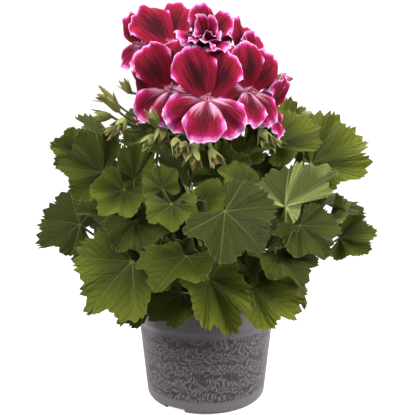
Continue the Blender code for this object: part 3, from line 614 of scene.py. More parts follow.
# Each leaf: stem, where its stalk meets the blade, where its tip is, which way its upper face
# looks, how much it is cupped, folded and drooped, its width, and how light and yellow it is.
LEAVES = [
    ("front_left", (-50, -75, 118), (-81, -90, 91), (-0.25, -0.8, 0.55), 0.1, 0.1, 0.5, 1.2, 0.62),
    ("front_left", (-12, -92, 124), (-32, -116, 112), (-0.15, -0.28, 0.95),
     0.0, 0.15, 0.4, 1.25, 0.45),
    ("front", (12, -101, 153), (40, -111, 132), (0.05, -0.7, 0.7), 0.0, 0.1, 0.4, 1.2, 0.14),
    ("front_right", (32, -66, 100), (66, -80, 84), (0.15, -0.8, 0.6), 0.1, 0.2, 0.3, 1.0, 0.92),
    ("front", (-4, -84, 108), (19, -98, 76), (0.1, -0.8, 0.6), 0.05, 0.55, 0.4, 0.75, 0.76),
    ("right", (59, -45, 155), (92, -60, 188), (-0.3, 0.6, 0.75), -0.05, 0.3, 0.2, 1.0, 0.8),
    ("right", (90, 0, 191), (140, 0, 218), (0.25, -0.85, 0.45), 0.05, 0.45, 0.2, 0.9, 1.0),
    ("left", (-80, -30, 182), (-113, -42, 186), (-0.35, -0.85, 0.35), 0.3, 0.1, 0.2, 1.2, 0.5),
    ("left", (-58, -62, 167), (-72, -72, 147), (0.1, -0.95, 0.2), 0.45, 0.1, 0.1, 0.95, 0.6),
    ("left", (-102, -20, 140), (-141, -12, 148), (-0.25, -0.8, 0.55), 0.1, 0.2, 0.4, 1.0, 0.14),
    ("right", (113, -5, 128), (143, -14, 135), (0.15, -0.9, 0.35), 0.1, 0.25, 0.3, 0.85, 0.62),
    ("right", (105, 10, 157), (142, 0, 150), (0.0, -0.25, 0.97), 0.05, 0.2, 0.4, 0.9, 0.3),
    ("left", (-111, 10, 200), (-134, 0, 209), (-0.2, -0.9, 0.3), 0.15, 0.2, 0.3, 1.1, 0.66),
    ("right", (71, 22, 212), (74, 28, 260), (0.2, -0.9, 0.3), 0.05, 0.6, 0.2, 0.65, 0.78),
    ("front", (-51, -48, 175), (-51, -38, 209), (0.2, -0.95, 0.1), 0.05, 0.55, 0.2, 0.65, 0.45),
    ("front_left", (-22, -88, 157), (-20, -97, 140), (0.0, -0.85, 0.45), 0.1, 0.1, 0.2, 1.2, 0.6),
    ("front_right", (49, -62, 124), (64, -86, 110), (0.1, -0.55, 0.83), 0.0, 0.2, 0.4, 1.1, 0.28),
    ("front_left", (-16, -80, 98), (-38, -90, 84), (0.1, -0.8, 0.55), 0.15, 0.25, 0.4, 1.0, 0.4),
    ("front_left", (-44, -58, 92), (-66, -66, 73), (-0.2, -0.7, 0.7), 0.05, 0.2, 0.4, 0.9, 0.55),
    ("front_left", (-70, -50, 146), (-99, -42, 155), (-0.2, -0.55, 0.8), 0.1, 0.35, 0.4, 0.8, 0.35),
    ("right", (58, -8, 202), (97, 5, 217), (0.1, -0.7, 0.7), 0.05, 0.3, 0.3, 0.9, 0.72),
    ("left", (-77, 4, 211), (-114, 30, 226), (-0.1, 0.3, 0.95), 0.05, 0.3, 0.3, 0.9, 0.38),
    ("front_right", (67, -45, 141), (90, -58, 123), (0.1, -0.8, 0.6), 0.05, 0.15, 0.4, 1.1, 0.3),
    ("front_left", (-49, -64, 145), (-38, -78, 124), (-0.1, -0.75, 0.65), 0.1, 0.1, 0.4, 1.1, 0.3),
    ("front_right", (28, -72, 170), (10, -78, 182), (0.0, -0.8, 0.6), 0.05, 0.2, 0.3, 0.9, 0.58),
    ("front", (1, -80, 160), (18, -86, 168), (0.0, -0.8, 0.6), 0.05, 0.2, 0.3, 1.0, 0.64),
    ("front", (-30, -70, 168), (-32, -66, 186), (-0.1, -0.95, 0.2), 0.1, 0.3, 0.2, 1.0, 0.5),
    ("left", (-44, 2, 202), (-60, 8, 236), (-0.1, -0.9, 0.45), 0.1, 0.3, 0.3, 0.9, 0.42),
    ("front", (-16, -38, 186), (-38, -46, 204), (0.0, -0.6, 0.8), 0.05, 0.2, 0.4, 1.0, 0.35),
    ("front_right", (24, -38, 190), (48, -44, 206), (0.1, -0.6, 0.8), 0.05, 0.2, 0.4, 1.0, 0.4),
    ("front", (4, -52, 178), (6, -66, 202), (0.0, -0.85, 0.5), 0.05, 0.2, 0.3, 1.1, 0.52),
    ("front_right", (60, -26, 104), (82, -36, 78), (0.85, -0.3, 0.45), 0.08, 0.2, 0.4, 1.1, 0.5),
    ("right", (88, 30, 176), (104, 30, 140), (0.85, -0.05, 0.5), 0.08, 0.2, 0.4, 1.1, 0.55),
    ("left", (-66, -36, 126), (-76, -56, 104), (-0.95, -0.2, 0.4), 0.08, 0.2, 0.4, 1.1, 0.42),
    ("front", (4, -30, 142), (10, -34, 176), (0.05, -0.98, 0.15), 0.1, 0.2, 0.3, 1.1, 0.2),
    ("left", (-36, -26, 146), (-44, -30, 180), (-0.15, -0.95, 0.2), 0.1, 0.2, 0.3, 1.1, 0.2),
    ("front_right", (38, -20, 148), (46, -22, 182), (0.15, -0.95, 0.2), 0.1, 0.2, 0.3, 1.1, 0.22),
    ("right", (36, -12, 186), (38, -14, 220), (0.1, -0.95, 0.25), 0.1, 0.2, 0.3, 1.1, 0.22),
]

# Young leaves on long stalks between the large ones: stem, where the stalk ends, length, lightness;
# the low lightness is painted shade inside the crown.
BETWEEN_LEAVES = [
    ("right", (104, -2, 142), 26, 0.25),
    ("left", (-96, -6, 122), 26, 0.20),
    ("front", (-17, -12, 204), 22, 0.25),
    ("front", (-12, -12, 116), 24, 0.10),
    ("right", (70, -8, 182), 24, 0.20),
    ("front_right", (31, -12, 208), 20, 0.25),
    ("front", (-15, -16, 178), 20, 0.15),
    ("front_left", (-60, -14, 110), 22, 0.12),
    ("front", (-16, -14, 162), 18, 0.15),
    ("right", (78, 2, 136), 22, 0.15),
    ("right", (90, 2, 152), 22, 0.15),
    ("front", (8, -12, 200), 20, 0.25),
    ("front_right", (34, -14, 88), 20, 0.10),
    ("right", (56, -4, 180), 22, 0.15),
    ("front", (-26, -20, 114), 20, 0.10),
]

# The rows of leaves of the sides and the back: height, how far out the stalks end, leaf length,
# how steeply the leaves hang, count, and the degrees round from the front of the first and last.
LEAF_ROWS = [
    (96, 70, 41, 0.80, 6, 76, 282),
    (122, 86, 44, 0.60, 5, 84, 272),
    (150, 87, 43, 0.35, 6, 76, 282),
    (178, 74, 40, 0.00, 5, 88, 274),
    (205, 54, 36, -0.55, 4, 110, 250),
]
ROW_SEED = 5
ROW_SPREAD = 5

BLADE_DARK_AND_SHADE = (0.018, 0.027, 0.003)
BLADE_GREEN = (0.066, 0.090, 0.006)
BLADE_YELLOW_AND_HIGHLIGHT = (0.215, 0.238, 0.018)
BLADE_VEIN = (0.150, 0.185, 0.045)
BLADE_STAR = (0.160, 0.190, 0.026)
BLADE_UNDER = (0.262, 0.300, 0.080)
UNDER_VEIN = (0.380, 0.410, 0.130)
BLADE_PALE_EDGE_AND_HIGHLIGHT = (0.260, 0.290, 0.110)
STEM_GREEN = (0.120, 0.150, 0.030)
STEM_WOODY = (0.075, 0.055, 0.025)
DOWN_PALE = (0.550, 0.560, 0.380)


def smooth_route(points, count):
    """A smooth line through the points, sampled evenly in the parameter."""
    ends = [points[0] * 2 - points[1], *points, points[-1] * 2 - points[-2]]
    line = []
    for k in range(count):
        at = k / (count - 1) * (len(points) - 1)
        i = min(int(at), len(points) - 2)
        t = at - i
        a, b, c, d = ends[i : i + 4]
        bend = (2 * a - 5 * b + 4 * c - d) * t**2 + (3 * b - a - 3 * c + d) * t**3
        line.append(0.5 * (2 * b + (c - a) * t + bend))
    return line


def bezier(start, control, end, count):
    shares = (k / (count - 1) for k in range(count))
    return [start * (1 - t) ** 2 + control * 2 * t * (1 - t) + end * t**2 for t in shares]


def frame_at(origin, forward, upward):
    """Axes at a point: X along forward, Z as near to upward as it can be."""
    x = forward.normalized()
    y = upward.cross(x).normalized()
    return Matrix.Translation(origin) @ Matrix((x, y, x.cross(y))).transposed().to_4x4()


def way_of(place, x, y, z):
    """A direction that is given in the axes of a place."""
    return place.to_3x3() @ Vector((x, y, z))


def round_about(turn):
    """The level direction at an angle."""
    return Vector((math.cos(turn), math.sin(turn), 0))


def moved(place, points):
    matrix = np.array(place)
    return points @ matrix[:3, :3].T + matrix[:3, 3]


def nudges(seed, step, tilt):
    """The small moves that the frame tried in turn: an offset and a turn."""
    draw = random.Random(seed)
    yield Vector((0, 0, 0)), Matrix.Identity(3)
    for k in range(1, TRIES):
        share = k / TRIES
        offset = Vector([draw.uniform(-1, 1) for _ in range(3)]) * step * share
        axis = Vector([draw.uniform(-1, 1) for _ in range(3)]).normalized()
        yield offset, Matrix.Rotation(draw.uniform(0.3, 1) * tilt * share, 3, axis)


def node_tree(name):
    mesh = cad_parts[name].data
    faces = [face.vertices for face in mesh.polygons]
    return BVHTree.FromPolygons([v.co for v in mesh.vertices], faces)


def found_place(start, seed, step, tilt, outline, tree):
    """The first place tried where nearly all of the outline lies on the frame's node, or None."""
    for offset, turn in nudges(seed, step, tilt):
        place = Matrix.Translation(start.translation + offset) @ (turn @ start.to_3x3()).to_4x4()
        off = sum(tree.find_nearest(Vector(p), MATCH)[0] is None for p in moved(place, outline))
        if off <= len(outline) * MOST_OFF:
            return place
    return None


def lobe(angle):
    """1 on a main vein, 0 at the cut between two lobes."""
    return 0.5 + 0.5 * np.cos(math.tau * angle / LOBE_ANGLE)


def edge_reach(angle):
    """How far the margin reaches at an angle from the tip, as a share of the blade's length."""
    return (0.82 + 0.18 * np.cos(angle)) * (1 - LOBE_CUT * (1 - lobe(angle)))


def blade_points(leaf, angle, reach, fan=0.0):
    """Points of the blade: polar round the stalk's end, with the tip along X and up along Z."""
    length = leaf["length"]
    x = length * reach * np.cos(angle)
    y = length * reach * np.sin(angle) * leaf["width"]
    wave = MARGIN_WAVE * reach**3 * np.sin(4 * angle + leaf["phase"])
    z = length * (leaf["cup"] * reach * reach + PLEAT * reach * (0.5 - lobe(angle)) + wave + fan)
    rounding = FOLD_ROUNDING * length
    z = z + (np.hypot(y, rounding) - rounding) * math.sin(leaf["fold"])
    y = y * math.cos(leaf["fold"])
    bend = length / leaf["droop"]
    turn = x / bend
    return np.stack([(bend + z) * np.sin(turn), y, (bend + z) * np.cos(turn) - bend], axis=-1)


def frame_margin(leaf):
    """The margin of the frame's blade: its teeth and the cuts between them."""
    count = 2 * leaf["teeth"] + 1
    angle = np.linspace(-BLADE_HALF_ANGLE, BLADE_HALF_ANGLE, count)
    cut = np.where(np.arange(count) % 2 == 0, 1 - TOOTH_CUT, 1)
    return blade_points(leaf, angle, edge_reach(angle) * cut)


def polygons(*corners):
    """Faces from one array of point numbers for each of their corners."""
    return np.stack([numbers.ravel() for numbers in corners], axis=1)


def thinned(half, share):
    """Half of the thickness of a sheet, which grows thinner towards its margin."""
    return half * (1 - MARGIN_THINNING * share**4)[..., None]


def add_sheet(growth, points, half, values, front, back):
    """Both faces of a thin sheet from its grid of points, and the rim round them."""
    normals = np.cross(np.gradient(points, axis=0), np.gradient(points, axis=1))
    normals /= np.maximum(np.linalg.norm(normals, axis=2, keepdims=True), 1e-12)
    rows, columns = points.shape[:2]
    number = np.arange(rows * columns).reshape(rows, columns)
    quads = polygons(number[:-1, :-1], number[1:, :-1], number[1:, 1:], number[:-1, 1:])
    top = points + normals * half
    low = points - normals * half
    values = values.reshape(-1, 4)
    growth.add(top, [quads], values, front)
    growth.add(low, [quads[:, ::-1]], values, back)
    sides = (number[0, :-1], number[:-1, -1], number[-1, :0:-1], number[:0:-1, 0])
    border = np.concatenate(sides)
    loop = np.concatenate([top.reshape(-1, 3)[border], low.reshape(-1, 3)[border]])
    edge = np.arange(len(border))
    after = np.roll(edge, -1)
    strip = polygons(after, after + len(border), edge + len(border), edge)
    growth.add(loop, [strip], np.tile(values[border], (2, 1)), front)


def add_hairs(growth, roots, ways, length, draw):
    """Fine downy hairs: thin three-sided points that stand on a skin."""
    ways = ways + draw.normal(0, 0.25, ways.shape)
    ways /= np.linalg.norm(ways, axis=1, keepdims=True)
    side = np.cross(ways, draw.normal(size=ways.shape))
    side /= np.linalg.norm(side, axis=1, keepdims=True)
    other = np.cross(ways, side)
    thick = length * DOWN_THICKNESS
    ring = [(side * math.cos(turn) + other * math.sin(turn)) * thick for turn in DOWN_CORNERS]
    tips = roots + ways * length * draw.uniform(0.6, 1.2, (len(roots), 1))
    points = np.stack([*(roots + offset for offset in ring), tips], axis=1)
    start = np.arange(len(roots))[:, None] * 4
    faces = np.concatenate([start + np.array(f) for f in ((0, 1, 3), (1, 2, 3), (2, 0, 3))])
    growth.add(points, [faces], slot=DOWN_SLOT)


def add_tube(growth, line, radii, sides, slot=0, hairs=0, length=DOWN_LENGTH, draw=None):
    """A round stalk along a line, closed at both ends, with its hairs."""
    line = np.array([tuple(p) for p in line])
    along = np.gradient(line, axis=0)
    along /= np.linalg.norm(along, axis=1, keepdims=True)
    across = np.cross(along[0], (0.3, 0.2, 1.0) if abs(along[0][2]) < 0.9 else (1.0, 0.1, 0))
    turns = np.arange(sides) * math.tau / sides
    outs = []
    for way in along:
        across = across - way * (across @ way)
        across /= np.linalg.norm(across)
        side = np.cross(way, across)
        outs.append(np.cos(turns)[:, None] * across + np.sin(turns)[:, None] * side)
    outs = np.array(outs)
    rings = line[:, None] + outs * np.asarray(radii, float)[:, None, None]
    count = len(line)
    number = np.arange(count * sides).reshape(count, sides)
    after = np.roll(number, -1, axis=1)
    quads = polygons(number[:-1], after[:-1], after[1:], number[1:])
    foot = polygons(np.full(sides, count * sides), after[0], number[0])
    tip = polygons(np.full(sides, count * sides + 1), number[-1], after[-1])
    values = np.zeros((count * sides + 2, 4))
    values[:-2, 0] = np.repeat(np.linspace(0, 1, count), sides)
    values[-1, 0] = 1
    points = np.concatenate([rings.reshape(-1, 3), line[[0, -1]]])
    growth.add(points, [quads, foot, tip], values, slot)
    if hairs:
        i = draw.integers(0, count - 1, hairs)
        j = draw.integers(0, sides, hairs)
        t = draw.uniform(0, 1, (hairs, 1))
        add_hairs(growth, rings[i, j] * (1 - t) + rings[i + 1, j] * t, outs[i, j], length, draw)


def add_bract(growth, root, heading, outward, length, width, curl, slot, hairs, draw):
    """A small pointed scale leaf: widest below its middle, and curled towards or from its stem."""
    place = frame_at(root, heading, outward)
    shares = np.linspace(0, 1, BRACT_ROWS), np.linspace(-1, 1, BRACT_COLUMNS)
    along, across = np.meshgrid(*shares, indexing="ij")
    half = width * np.sin(math.pi * np.clip(along, 0.06, 0.985) ** 0.62) ** 0.85
    lift = curl * length * along**2 - 0.35 * half * across**2 + 0.30 * half
    points = moved(place, np.stack([length * along, half * across, lift], axis=-1))
    values = np.stack([along, across, 0 * along, 0 * along], axis=-1)
    add_sheet(growth, points, BRACT_HALF, values, slot, slot)
    i, j = draw.integers(0, BRACT_ROWS, hairs), draw.integers(0, BRACT_COLUMNS, hairs)
    sideways = np.array(way_of(place, 0, 1, 0)) * across[0, j][:, None] * 0.9
    ways = np.array(way_of(place, 0.2, 0, 1)) + sideways
    add_hairs(growth, points[i, j], ways, DOWN_LENGTH, draw)


def leaf_of(stem, joint, tip, face, cup, fold, droop, width, tone, seed):
    start, end = Vector(joint) * MM, Vector(tip) * MM
    length = (end - start).length
    return {
        "stem": stem,
        "place": frame_at(start, end - start, Vector(face)),
        "length": length,
        "width": width,
        "cup": cup,
        "fold": fold,
        "droop": droop,
        "phase": seed * LEAF_PHASE,
        "teeth": next(teeth for least, teeth in TEETH_OF_LENGTH if length >= least),
        "tone": tone,
        "seed": seed,
    }


def row_leaves():
    """The leaves of the sides and back: where each starts and ends, and which way it looks."""
    draw = random.Random(ROW_SEED)
    made = []
    for row, (height, out, length, hang, count, first, last) in enumerate(LEAF_ROWS):
        for k in range(count):
            degrees = first + (last - first) * (k + 0.5 * (row % 2)) / (count - 0.5)
            angle = math.radians(degrees + draw.uniform(-ROW_SPREAD, ROW_SPREAD))
            outward = Vector((-math.sin(angle), -math.cos(angle), 0))
            joint = outward * (out + draw.uniform(-ROW_SPREAD, ROW_SPREAD))
            joint.z = height + draw.uniform(-ROW_SPREAD, ROW_SPREAD)
            sideways = outward.cross(UP) * draw.uniform(-0.4, 0.4)
            heading = (outward + sideways - UP * hang).normalized()
            face = outward * (0.35 + 0.5 * abs(hang)) + UP * 0.8
            made.append((joint, joint + heading * length * draw.uniform(0.85, 1.1), face))
    return made


def nearest_stem(joint, tops):
    """The stem whose top lies most nearly on the same side of the plant."""
    side = joint.xy.normalized()
    return min(tops, key=lambda name: (tops[name].xy.normalized() - side).length)


def stem_line(route, count):
    heights = (STEM_BOTTOM, SOIL_TOP + STEM_STRAIGHT)
    foot, grown = [Vector((*route[0], z / MM)) * MM for z in heights]
    return [foot, *smooth_route([grown, *(Vector(p) * MM for p in route[1:])], count - 1)]


def stem_below(line, joint):
    """The place on a stem where the stalk of a leaf grows out."""
    rise = STALK_RISE + STALK_SLOPE * math.hypot(joint.x, joint.y)
    height = min(max(joint.z - rise, SOIL_TOP + STALK_RISE), line[-1].z - STEM_TIP_RADIUS)
    for a, b in zip(line, line[1:]):
        if a.z <= height <= b.z:
            return a.lerp(b, (height - a.z) / (b.z - a.z))
    return line[-2]


def add_blade(growth, leaf, place, teeth=FINE_TEETH, steps=STEPS_A_TOOTH, shares=BLADE_SHARES):
    """The finely toothed and pleated blade of one leaf."""
    draw = np.random.default_rng(leaf["seed"])
    tooth = np.linspace(0, teeth, teeth * steps + 1)
    drift = np.sin(tooth * 1.9 + leaf["phase"]) * np.sin(math.pi * tooth / teeth) * 0.35
    angle = BLADE_HALF_ANGLE * (2 * (tooth + drift) / teeth - 1)
    valley = np.abs(2 * (tooth % 1) - 1)
    depth = draw.uniform(0.45, 1.35, teeth + 1)[np.round(tooth).astype(int)]
    coarse = np.abs((angle + BLADE_HALF_ANGLE) * leaf["teeth"] / BLADE_HALF_ANGLE % 2 - 1)
    cut = 1 - COARSE_CUT * coarse - FINE_CUT * depth * valley - SINUS_CUT * (1 - lobe(angle)) ** 4
    share = np.array(shares)[:, None]
    reach = share * (edge_reach(angle) * cut)[None, :]
    fan = FAN_PLEAT * reach**2 * np.cos(math.tau * (tooth - 0.5))
    fan = fan + DEEPER_PLEAT * reach * (0.5 - lobe(angle))
    points = moved(place, blade_points(leaf, angle, reach, fan))
    margin = (1 - share) * leaf["length"] / MM + 0 * reach
    tone = np.full(reach.shape, leaf["tone"])
    values = [reach * np.cos(angle), reach * np.sin(angle), margin, tone]
    add_sheet(growth, points, thinned(BLADE_HALF, share), np.stack(values, axis=-1), 0, 1)


def add_young_leaf(blades, stalks, root, joint, length, tone, seed, draw):
    """A small leaf on its own thin stalk, half open, that looks outwards and up."""
    outward = Vector((joint.x, joint.y, 0)).normalized()
    heading = outward * 0.45 + outward.cross(UP) * draw.uniform(-0.6, 0.6) + UP * 0.75
    leaf = {"length": length, "tone": tone, "seed": seed, **YOUNG_LEAF_FORM}
    leaf["phase"] = seed * LEAF_PHASE
    place = frame_at(joint, heading, outward - UP * 0.2)
    add_blade(blades, leaf, place, YOUNG_TEETH, YOUNG_STEPS, YOUNG_SHARES)
    control = root.lerp(joint, 0.6) - UP * (joint - root).length * 0.25
    line = bezier(root, control, joint, YOUNG_STALK_POINTS)
    radii = np.linspace(*YOUNG_STALK_RADII, YOUNG_STALK_POINTS)
    add_tube(stalks, line, radii, YOUNG_STALK_SIDES, 0, YOUNG_STALK_HAIRS, YOUNG_DOWN, draw)


def veined(finish, main_width, branch_width):
    """Main and forked veins of a blade, each from 0 to 1, and how far out and from the margin."""
    x, y, margin = finish.flat().apart()
    out = (x**2.0 + y**2.0).root()
    angle = y.turn_from(x)
    near = (angle / LOBE_ANGLE).maths("ROUND").maths("MINIMUM", 2.0).larger(-2.0)
    off = angle - near * LOBE_ANGLE
    aside = abs(out * off.sine())
    main = (aside / out.spread(0.0, 1.0, main_width, main_width * 0.35)).spread(1.0, 0.35)
    slant = (out * off.cosine() - aside**0.9 * 1.15) / 0.15 + near * 0.37
    line = abs(centred(slant)).spread(branch_width, branch_width * 0.25)
    return main, line * out.spread(0.10, 0.30), out, margin


def netted(finish):
    """The fine net between the veins: 1 on its threads."""
    cells = {"Vector": finish.flat(), "Scale": 26.0}
    edges = {"feature": "DISTANCE_TO_EDGE", "voronoi_dimensions": "2D"}
    return finish.node("TexVoronoi", cells, **edges).spread(0.12, 0.0)


# On a blade `flat` says where a point lies from the stalk's end, in shares of the blade's length,
# and how many millimetres it is from the margin. `tone` says how light and yellow the leaf is.
upper_face = Finish("leaf_upper_face", 0.48)
main, branch, out, margin = veined(upper_face, 0.019, 0.075)
net = netted(upper_face)
flat, tone = upper_face.flat(), upper_face.tone()
quilt_and_highlight = flat.noise(17.0, 3.0, 0.6)
depth = flat.noise(3.5, 4.0).spread(0.3, 0.7, -0.15, 0.15).plus(tone)
skin = depth.spread(0.0, 0.5).mix(BLADE_DARK_AND_SHADE, BLADE_GREEN)
# Lighter and yellower towards the margin on light leaves: partly their own yellow-green, partly
# painted light on the rim of the cup.
skin = (out.spread(0.25, 1.0) * tone.spread(0.35, 0.9)).mix(skin, BLADE_YELLOW_AND_HIGHLIGHT)
# Painted shade: the blade grows darker towards the stalk's end, as the shade that falls in its cup.
middle = out.spread(0.72, 0.16, 0.0, 0.80) * tone.spread(1.0, 0.6, 0.40, 1.0)
skin = middle.mix(skin, BLADE_DARK_AND_SHADE)
skin = (net * 0.12).mix(skin, BLADE_VEIN)
# Painted highlight: the raised quilting between the veins is lighter and yellower.
skin = quilt_and_highlight.spread(0.40, 0.68, 0.0, 0.16).mix(skin, BLADE_YELLOW_AND_HIGHLIGHT)
# Painted shade: the sunk forked veins are darker, as the shade in their grooves.
skin = (branch * 0.58).mix(skin, BLADE_DARK_AND_SHADE)
skin = (main * 0.50).mix(skin, BLADE_VEIN)
rays = main * out.spread(0.30, 0.04, 0.0, 0.4)
skin = out.spread(0.050, 0.015).plus(rays).mix(skin, BLADE_STAR)
# A pale rim along the margin: partly the leaf's own pale edge, partly a painted edge highlight.
upper_face.colour(margin.spread(0.40, 0.1, 0.0, 0.6).mix(skin, BLADE_PALE_EDGE_AND_HIGHLIGHT))
upper_face.bump(main * -1.0 + branch * -0.6 + net * -0.18 + quilt_and_highlight * 1.1, 0.0014)

under_face = Finish("leaf_under_face", 0.75)
main, branch, out, margin = veined(under_face, 0.040, 0.105)
net = netted(under_face)
skin = under_face.tone().spread(0.0, 1.0).mix(scaled(BLADE_UNDER, 0.62), BLADE_UNDER)
for veins in (net * 0.25, branch * 0.5, main * 0.9):
    skin = veins.mix(skin, UNDER_VEIN)
# A pale rim along the margin: partly the leaf's own pale edge, partly a painted edge highlight.
under_face.colour(margin.spread(0.5, 0.1, 0.0, 0.6).mix(skin, BLADE_PALE_EDGE_AND_HIGHLIGHT))
under_face.bump(main + branch * 0.6 + net * 0.2, 0.00065)

stem_skin = Finish("leafy_stem_skin", 0.6)
height = stem_skin.place().apart()[2]
streaks = stem_skin.place().noise(320.0, 4.0)
woody = height.spread(0.125, 0.075, 0.0, 0.8).plus(streaks.spread(0.45, 0.8, 0.0, 0.3))
stem_skin.colour(woody.mix(STEM_GREEN, STEM_WOODY))
stem_skin.bump(streaks, 0.0002)
down = Finish("pale_down", 0.8)
down.colour(down.place().noise(900.0).mix(DOWN_PALE, scaled(DOWN_PALE, 0.7)))

leafy_tops = {name: stem_line(route, STEM_POINTS)[-1] for name, route in LEAFY_STEMS.items()}
leaves = [
    leaf_of("leafy_stem_" + stem, *values, seed) for seed, (stem, *values) in enumerate(LEAVES)
]
for seed, (joint, tip, face) in enumerate(row_leaves()):
    stem = nearest_stem(joint, leafy_tops)
    tone = 0.25 + 0.5 * random.Random(ROW_TONE_SEED + seed).random()
    leaf = leaf_of(stem, joint, tip, face, *ROW_LEAF_FORM, tone, ROW_LEAF_SEED + seed)
    leaf["teeth"] = ROW_LEAF_TEETH
    leaves.append(leaf)

for name, route in LEAFY_STEMS.items():
    blades, stalks = Growth(), Growth()
    draw = np.random.default_rng(len(name) * LEAFY_SEED_STEP + LEAFY_SEED)
    tree = node_tree(name)
    coarse = stem_line(route, STEM_POINTS)
    fine = stem_line(route, FINE_STEM_POINTS)
    radii = np.linspace(STEM_FOOT_RADIUS, STEM_TIP_RADIUS, FINE_STEM_POINTS)
    radii = radii * (1 + 0.06 * np.sin(np.arange(FINE_STEM_POINTS) * 1.9))
    radii[-3:] *= (0.95, 0.8, 0.45)
    add_tube(stalks, fine, radii, STEM_SIDES, 0, STEM_HAIRS, DOWN_LENGTH, draw)
    roots = []
    for leaf in leaves:
        if leaf["stem"] != name:
            continue
        margin = frame_margin(leaf)
        place = found_place(leaf["place"], leaf["seed"], LEAF_NUDGE, LEAF_TILT, margin, tree)
        if place is None:
            continue
        steps = ROW_STEPS_A_TOOTH if leaf["seed"] >= ROW_LEAF_SEED else STEPS_A_TOOTH
        add_blade(blades, leaf, place, steps=steps)
        joint = place.translation
        root = stem_below(coarse, joint)
        roots.append((root, joint))
        control = joint + way_of(place, *STALK_ARRIVAL) * (joint - root).length
        seat = joint - way_of(place, 0, 0, LEAF_THICKNESS * 0.5)
        line = bezier(root, control, seat, STALK_POINTS)
        radii = STALK_RADIUS * np.interp(np.linspace(0, 1, STALK_POINTS), *STALK_SWELLING)
        add_tube(stalks, line, radii, STALK_SIDES, 0, STALK_HAIRS, DOWN_LENGTH, draw)
    for k in range(YOUNG_A_STEM):
        root = fine[8 + 3 * k]
        outward = round_about(k * SPIRAL + draw.uniform(0, 0.8))
        outward = outward + Vector((root.x, root.y, 0)).normalized() * 0.5
        joint = root + outward * draw.uniform(*YOUNG_REACH) + UP * draw.uniform(*YOUNG_RISE)
        # A dark tone: painted shade inside the crown.
        length, tone = draw.uniform(*YOUNG_LENGTH), draw.uniform(*YOUNG_TONE_IN_SHADE)
        add_young_leaf(blades, stalks, root, joint, length, tone, len(name) * 40 + k, draw)
    for index, (stem, at, length, tone) in enumerate(BETWEEN_LEAVES):
        if name == "leafy_stem_" + stem:
            joint = Vector(at) * MM
            root = stem_below(fine, joint)
            seed = BETWEEN_SEED + index
            add_young_leaf(blades, stalks, root, joint, length * MM, tone, seed, draw)
    for root, joint in roots:
        outward = (joint - root).normalized()
        for side in (-1, 1):
            aside = outward.cross(UP).normalized() * side
            at = root + aside * STEM_TIP_RADIUS * 0.8
            heading = aside * 0.6 + UP * 0.7 + outward * 0.3
            add_bract(stalks, at, heading, aside + outward, *STIPULE, 0, STIPULE_HAIRS, draw)
    for k in range(TIP_BRACTS):
        outward = round_about(k * SPIRAL)
        at = fine[-3] + outward * DOWN_LENGTH
        heading = outward * (0.15 + 0.11 * k) + UP
        add_bract(stalks, at, heading, outward, *TIP_BRACT, 0, TIP_BRACT_HAIRS, draw)
    blades.piece("blades_" + name, [upper_face, under_face], name, "leaf")
    stalks.piece("stalks_" + name, [stem_skin, down], name, "leaf")

# Flowering stems: upright stems that end in a knob, from which the downy flower stalks and the
# nodding buds spring. Each calyx and bud has five pointed sepals, yellow-green and reddish.
PEDICEL_RADIUS = 0.0009
PEDICEL_SHARES = (0, 0.08, 0.6, 1)
HUB_RADIUS = 0.0030
HUB_HEIGHT = 0.003
HUB_SEAT = 0.0016
HUB_SINK = 0.0022
HUB_SHARES = (0.35, 0.75, 1.0)
HUB_SWELL = (0.8, 0.95, 0.6)
HUB_BRACTS = 9
HUB_BRACT = (0.0075, 0.0019, -0.2)
HUB_BRACT_HAIRS = 16
HUB_BRACT_OUT = 0.0018
UPRIGHT_HAIRS = 320
CALYX_LENGTH = 0.008
CALYX_RADIUS = 0.0024
CALYX_SHARES = (0, 0.15, 0.4, 0.7, 1.0)
CALYX_RADII = (0.00108, 0.00171, 0.00216, 0.0024, 0.00204)
CALYX_SIDES = 12
CALYX_HAIRS = 60
CALYX_GAP = 0.0003
THROAT_LENGTH = 0.005
SEPALS = 5
SEPAL = (0.0098, 0.0019, 0.10)
SEPAL_HAIRS = 40
SEPAL_RISE = 0.0024
BUD_POINTS = 14
BUD_SIDES = 12
BUD_HAIRS = 90
BLOOM_SEED = 400
BUD_SEED = 700
BLOOM_NUDGE = 0.014
BLOOM_TILT = math.radians(22)
BLOOM_PHASE = 1.3
UPRIGHT_SEED_STEP = 17
UPRIGHT_SEED = 3
LONG_DOWN = 0.001
BUD_SEAT = 0.0006
CALYX_SEAT = 0.0005
STALK_SLOT, SEPAL_SLOT, BUD_SLOT = 0, 2, 3

# Each kind of flower stalk: points along it, sides, hairs, and its swelling at PEDICEL_SHARES.
FLOWER_PEDICEL = (18, 9, 140, (1.5, 1.0, 0.95, 1.25))
BUD_PEDICEL = (16, 9, 120, (1.4, 0.95, 0.9, 1.5))
YOUNG_PEDICEL = (16, 8, 100, (1.2, 0.85, 0.8, 1.3))
LATE_PEDICEL = (18, 9, 120, (1.4, 0.95, 0.9, 1.5))

# Each stem: name, foot on the soil, then the points that it grows through, in millimetres.
FLOWERING_STEMS = {
    "flowering_stem_front": [(-2, -10), (0, -15, 120), (-2, -26, 180), (-4, -34, 218)],
    "flowering_stem_left": [(-11, 2), (-16, 2, 120), (-26, -2, 180), (-34, -4, 232)],
    "flowering_stem_right": [(11, 0), (14, 2, 120), (24, 2, 180), (30, 0, 226)],
    "flowering_stem_back": [(0, 12), (0, 17, 120), (0, 24, 180), (0, 30, 232)],
}

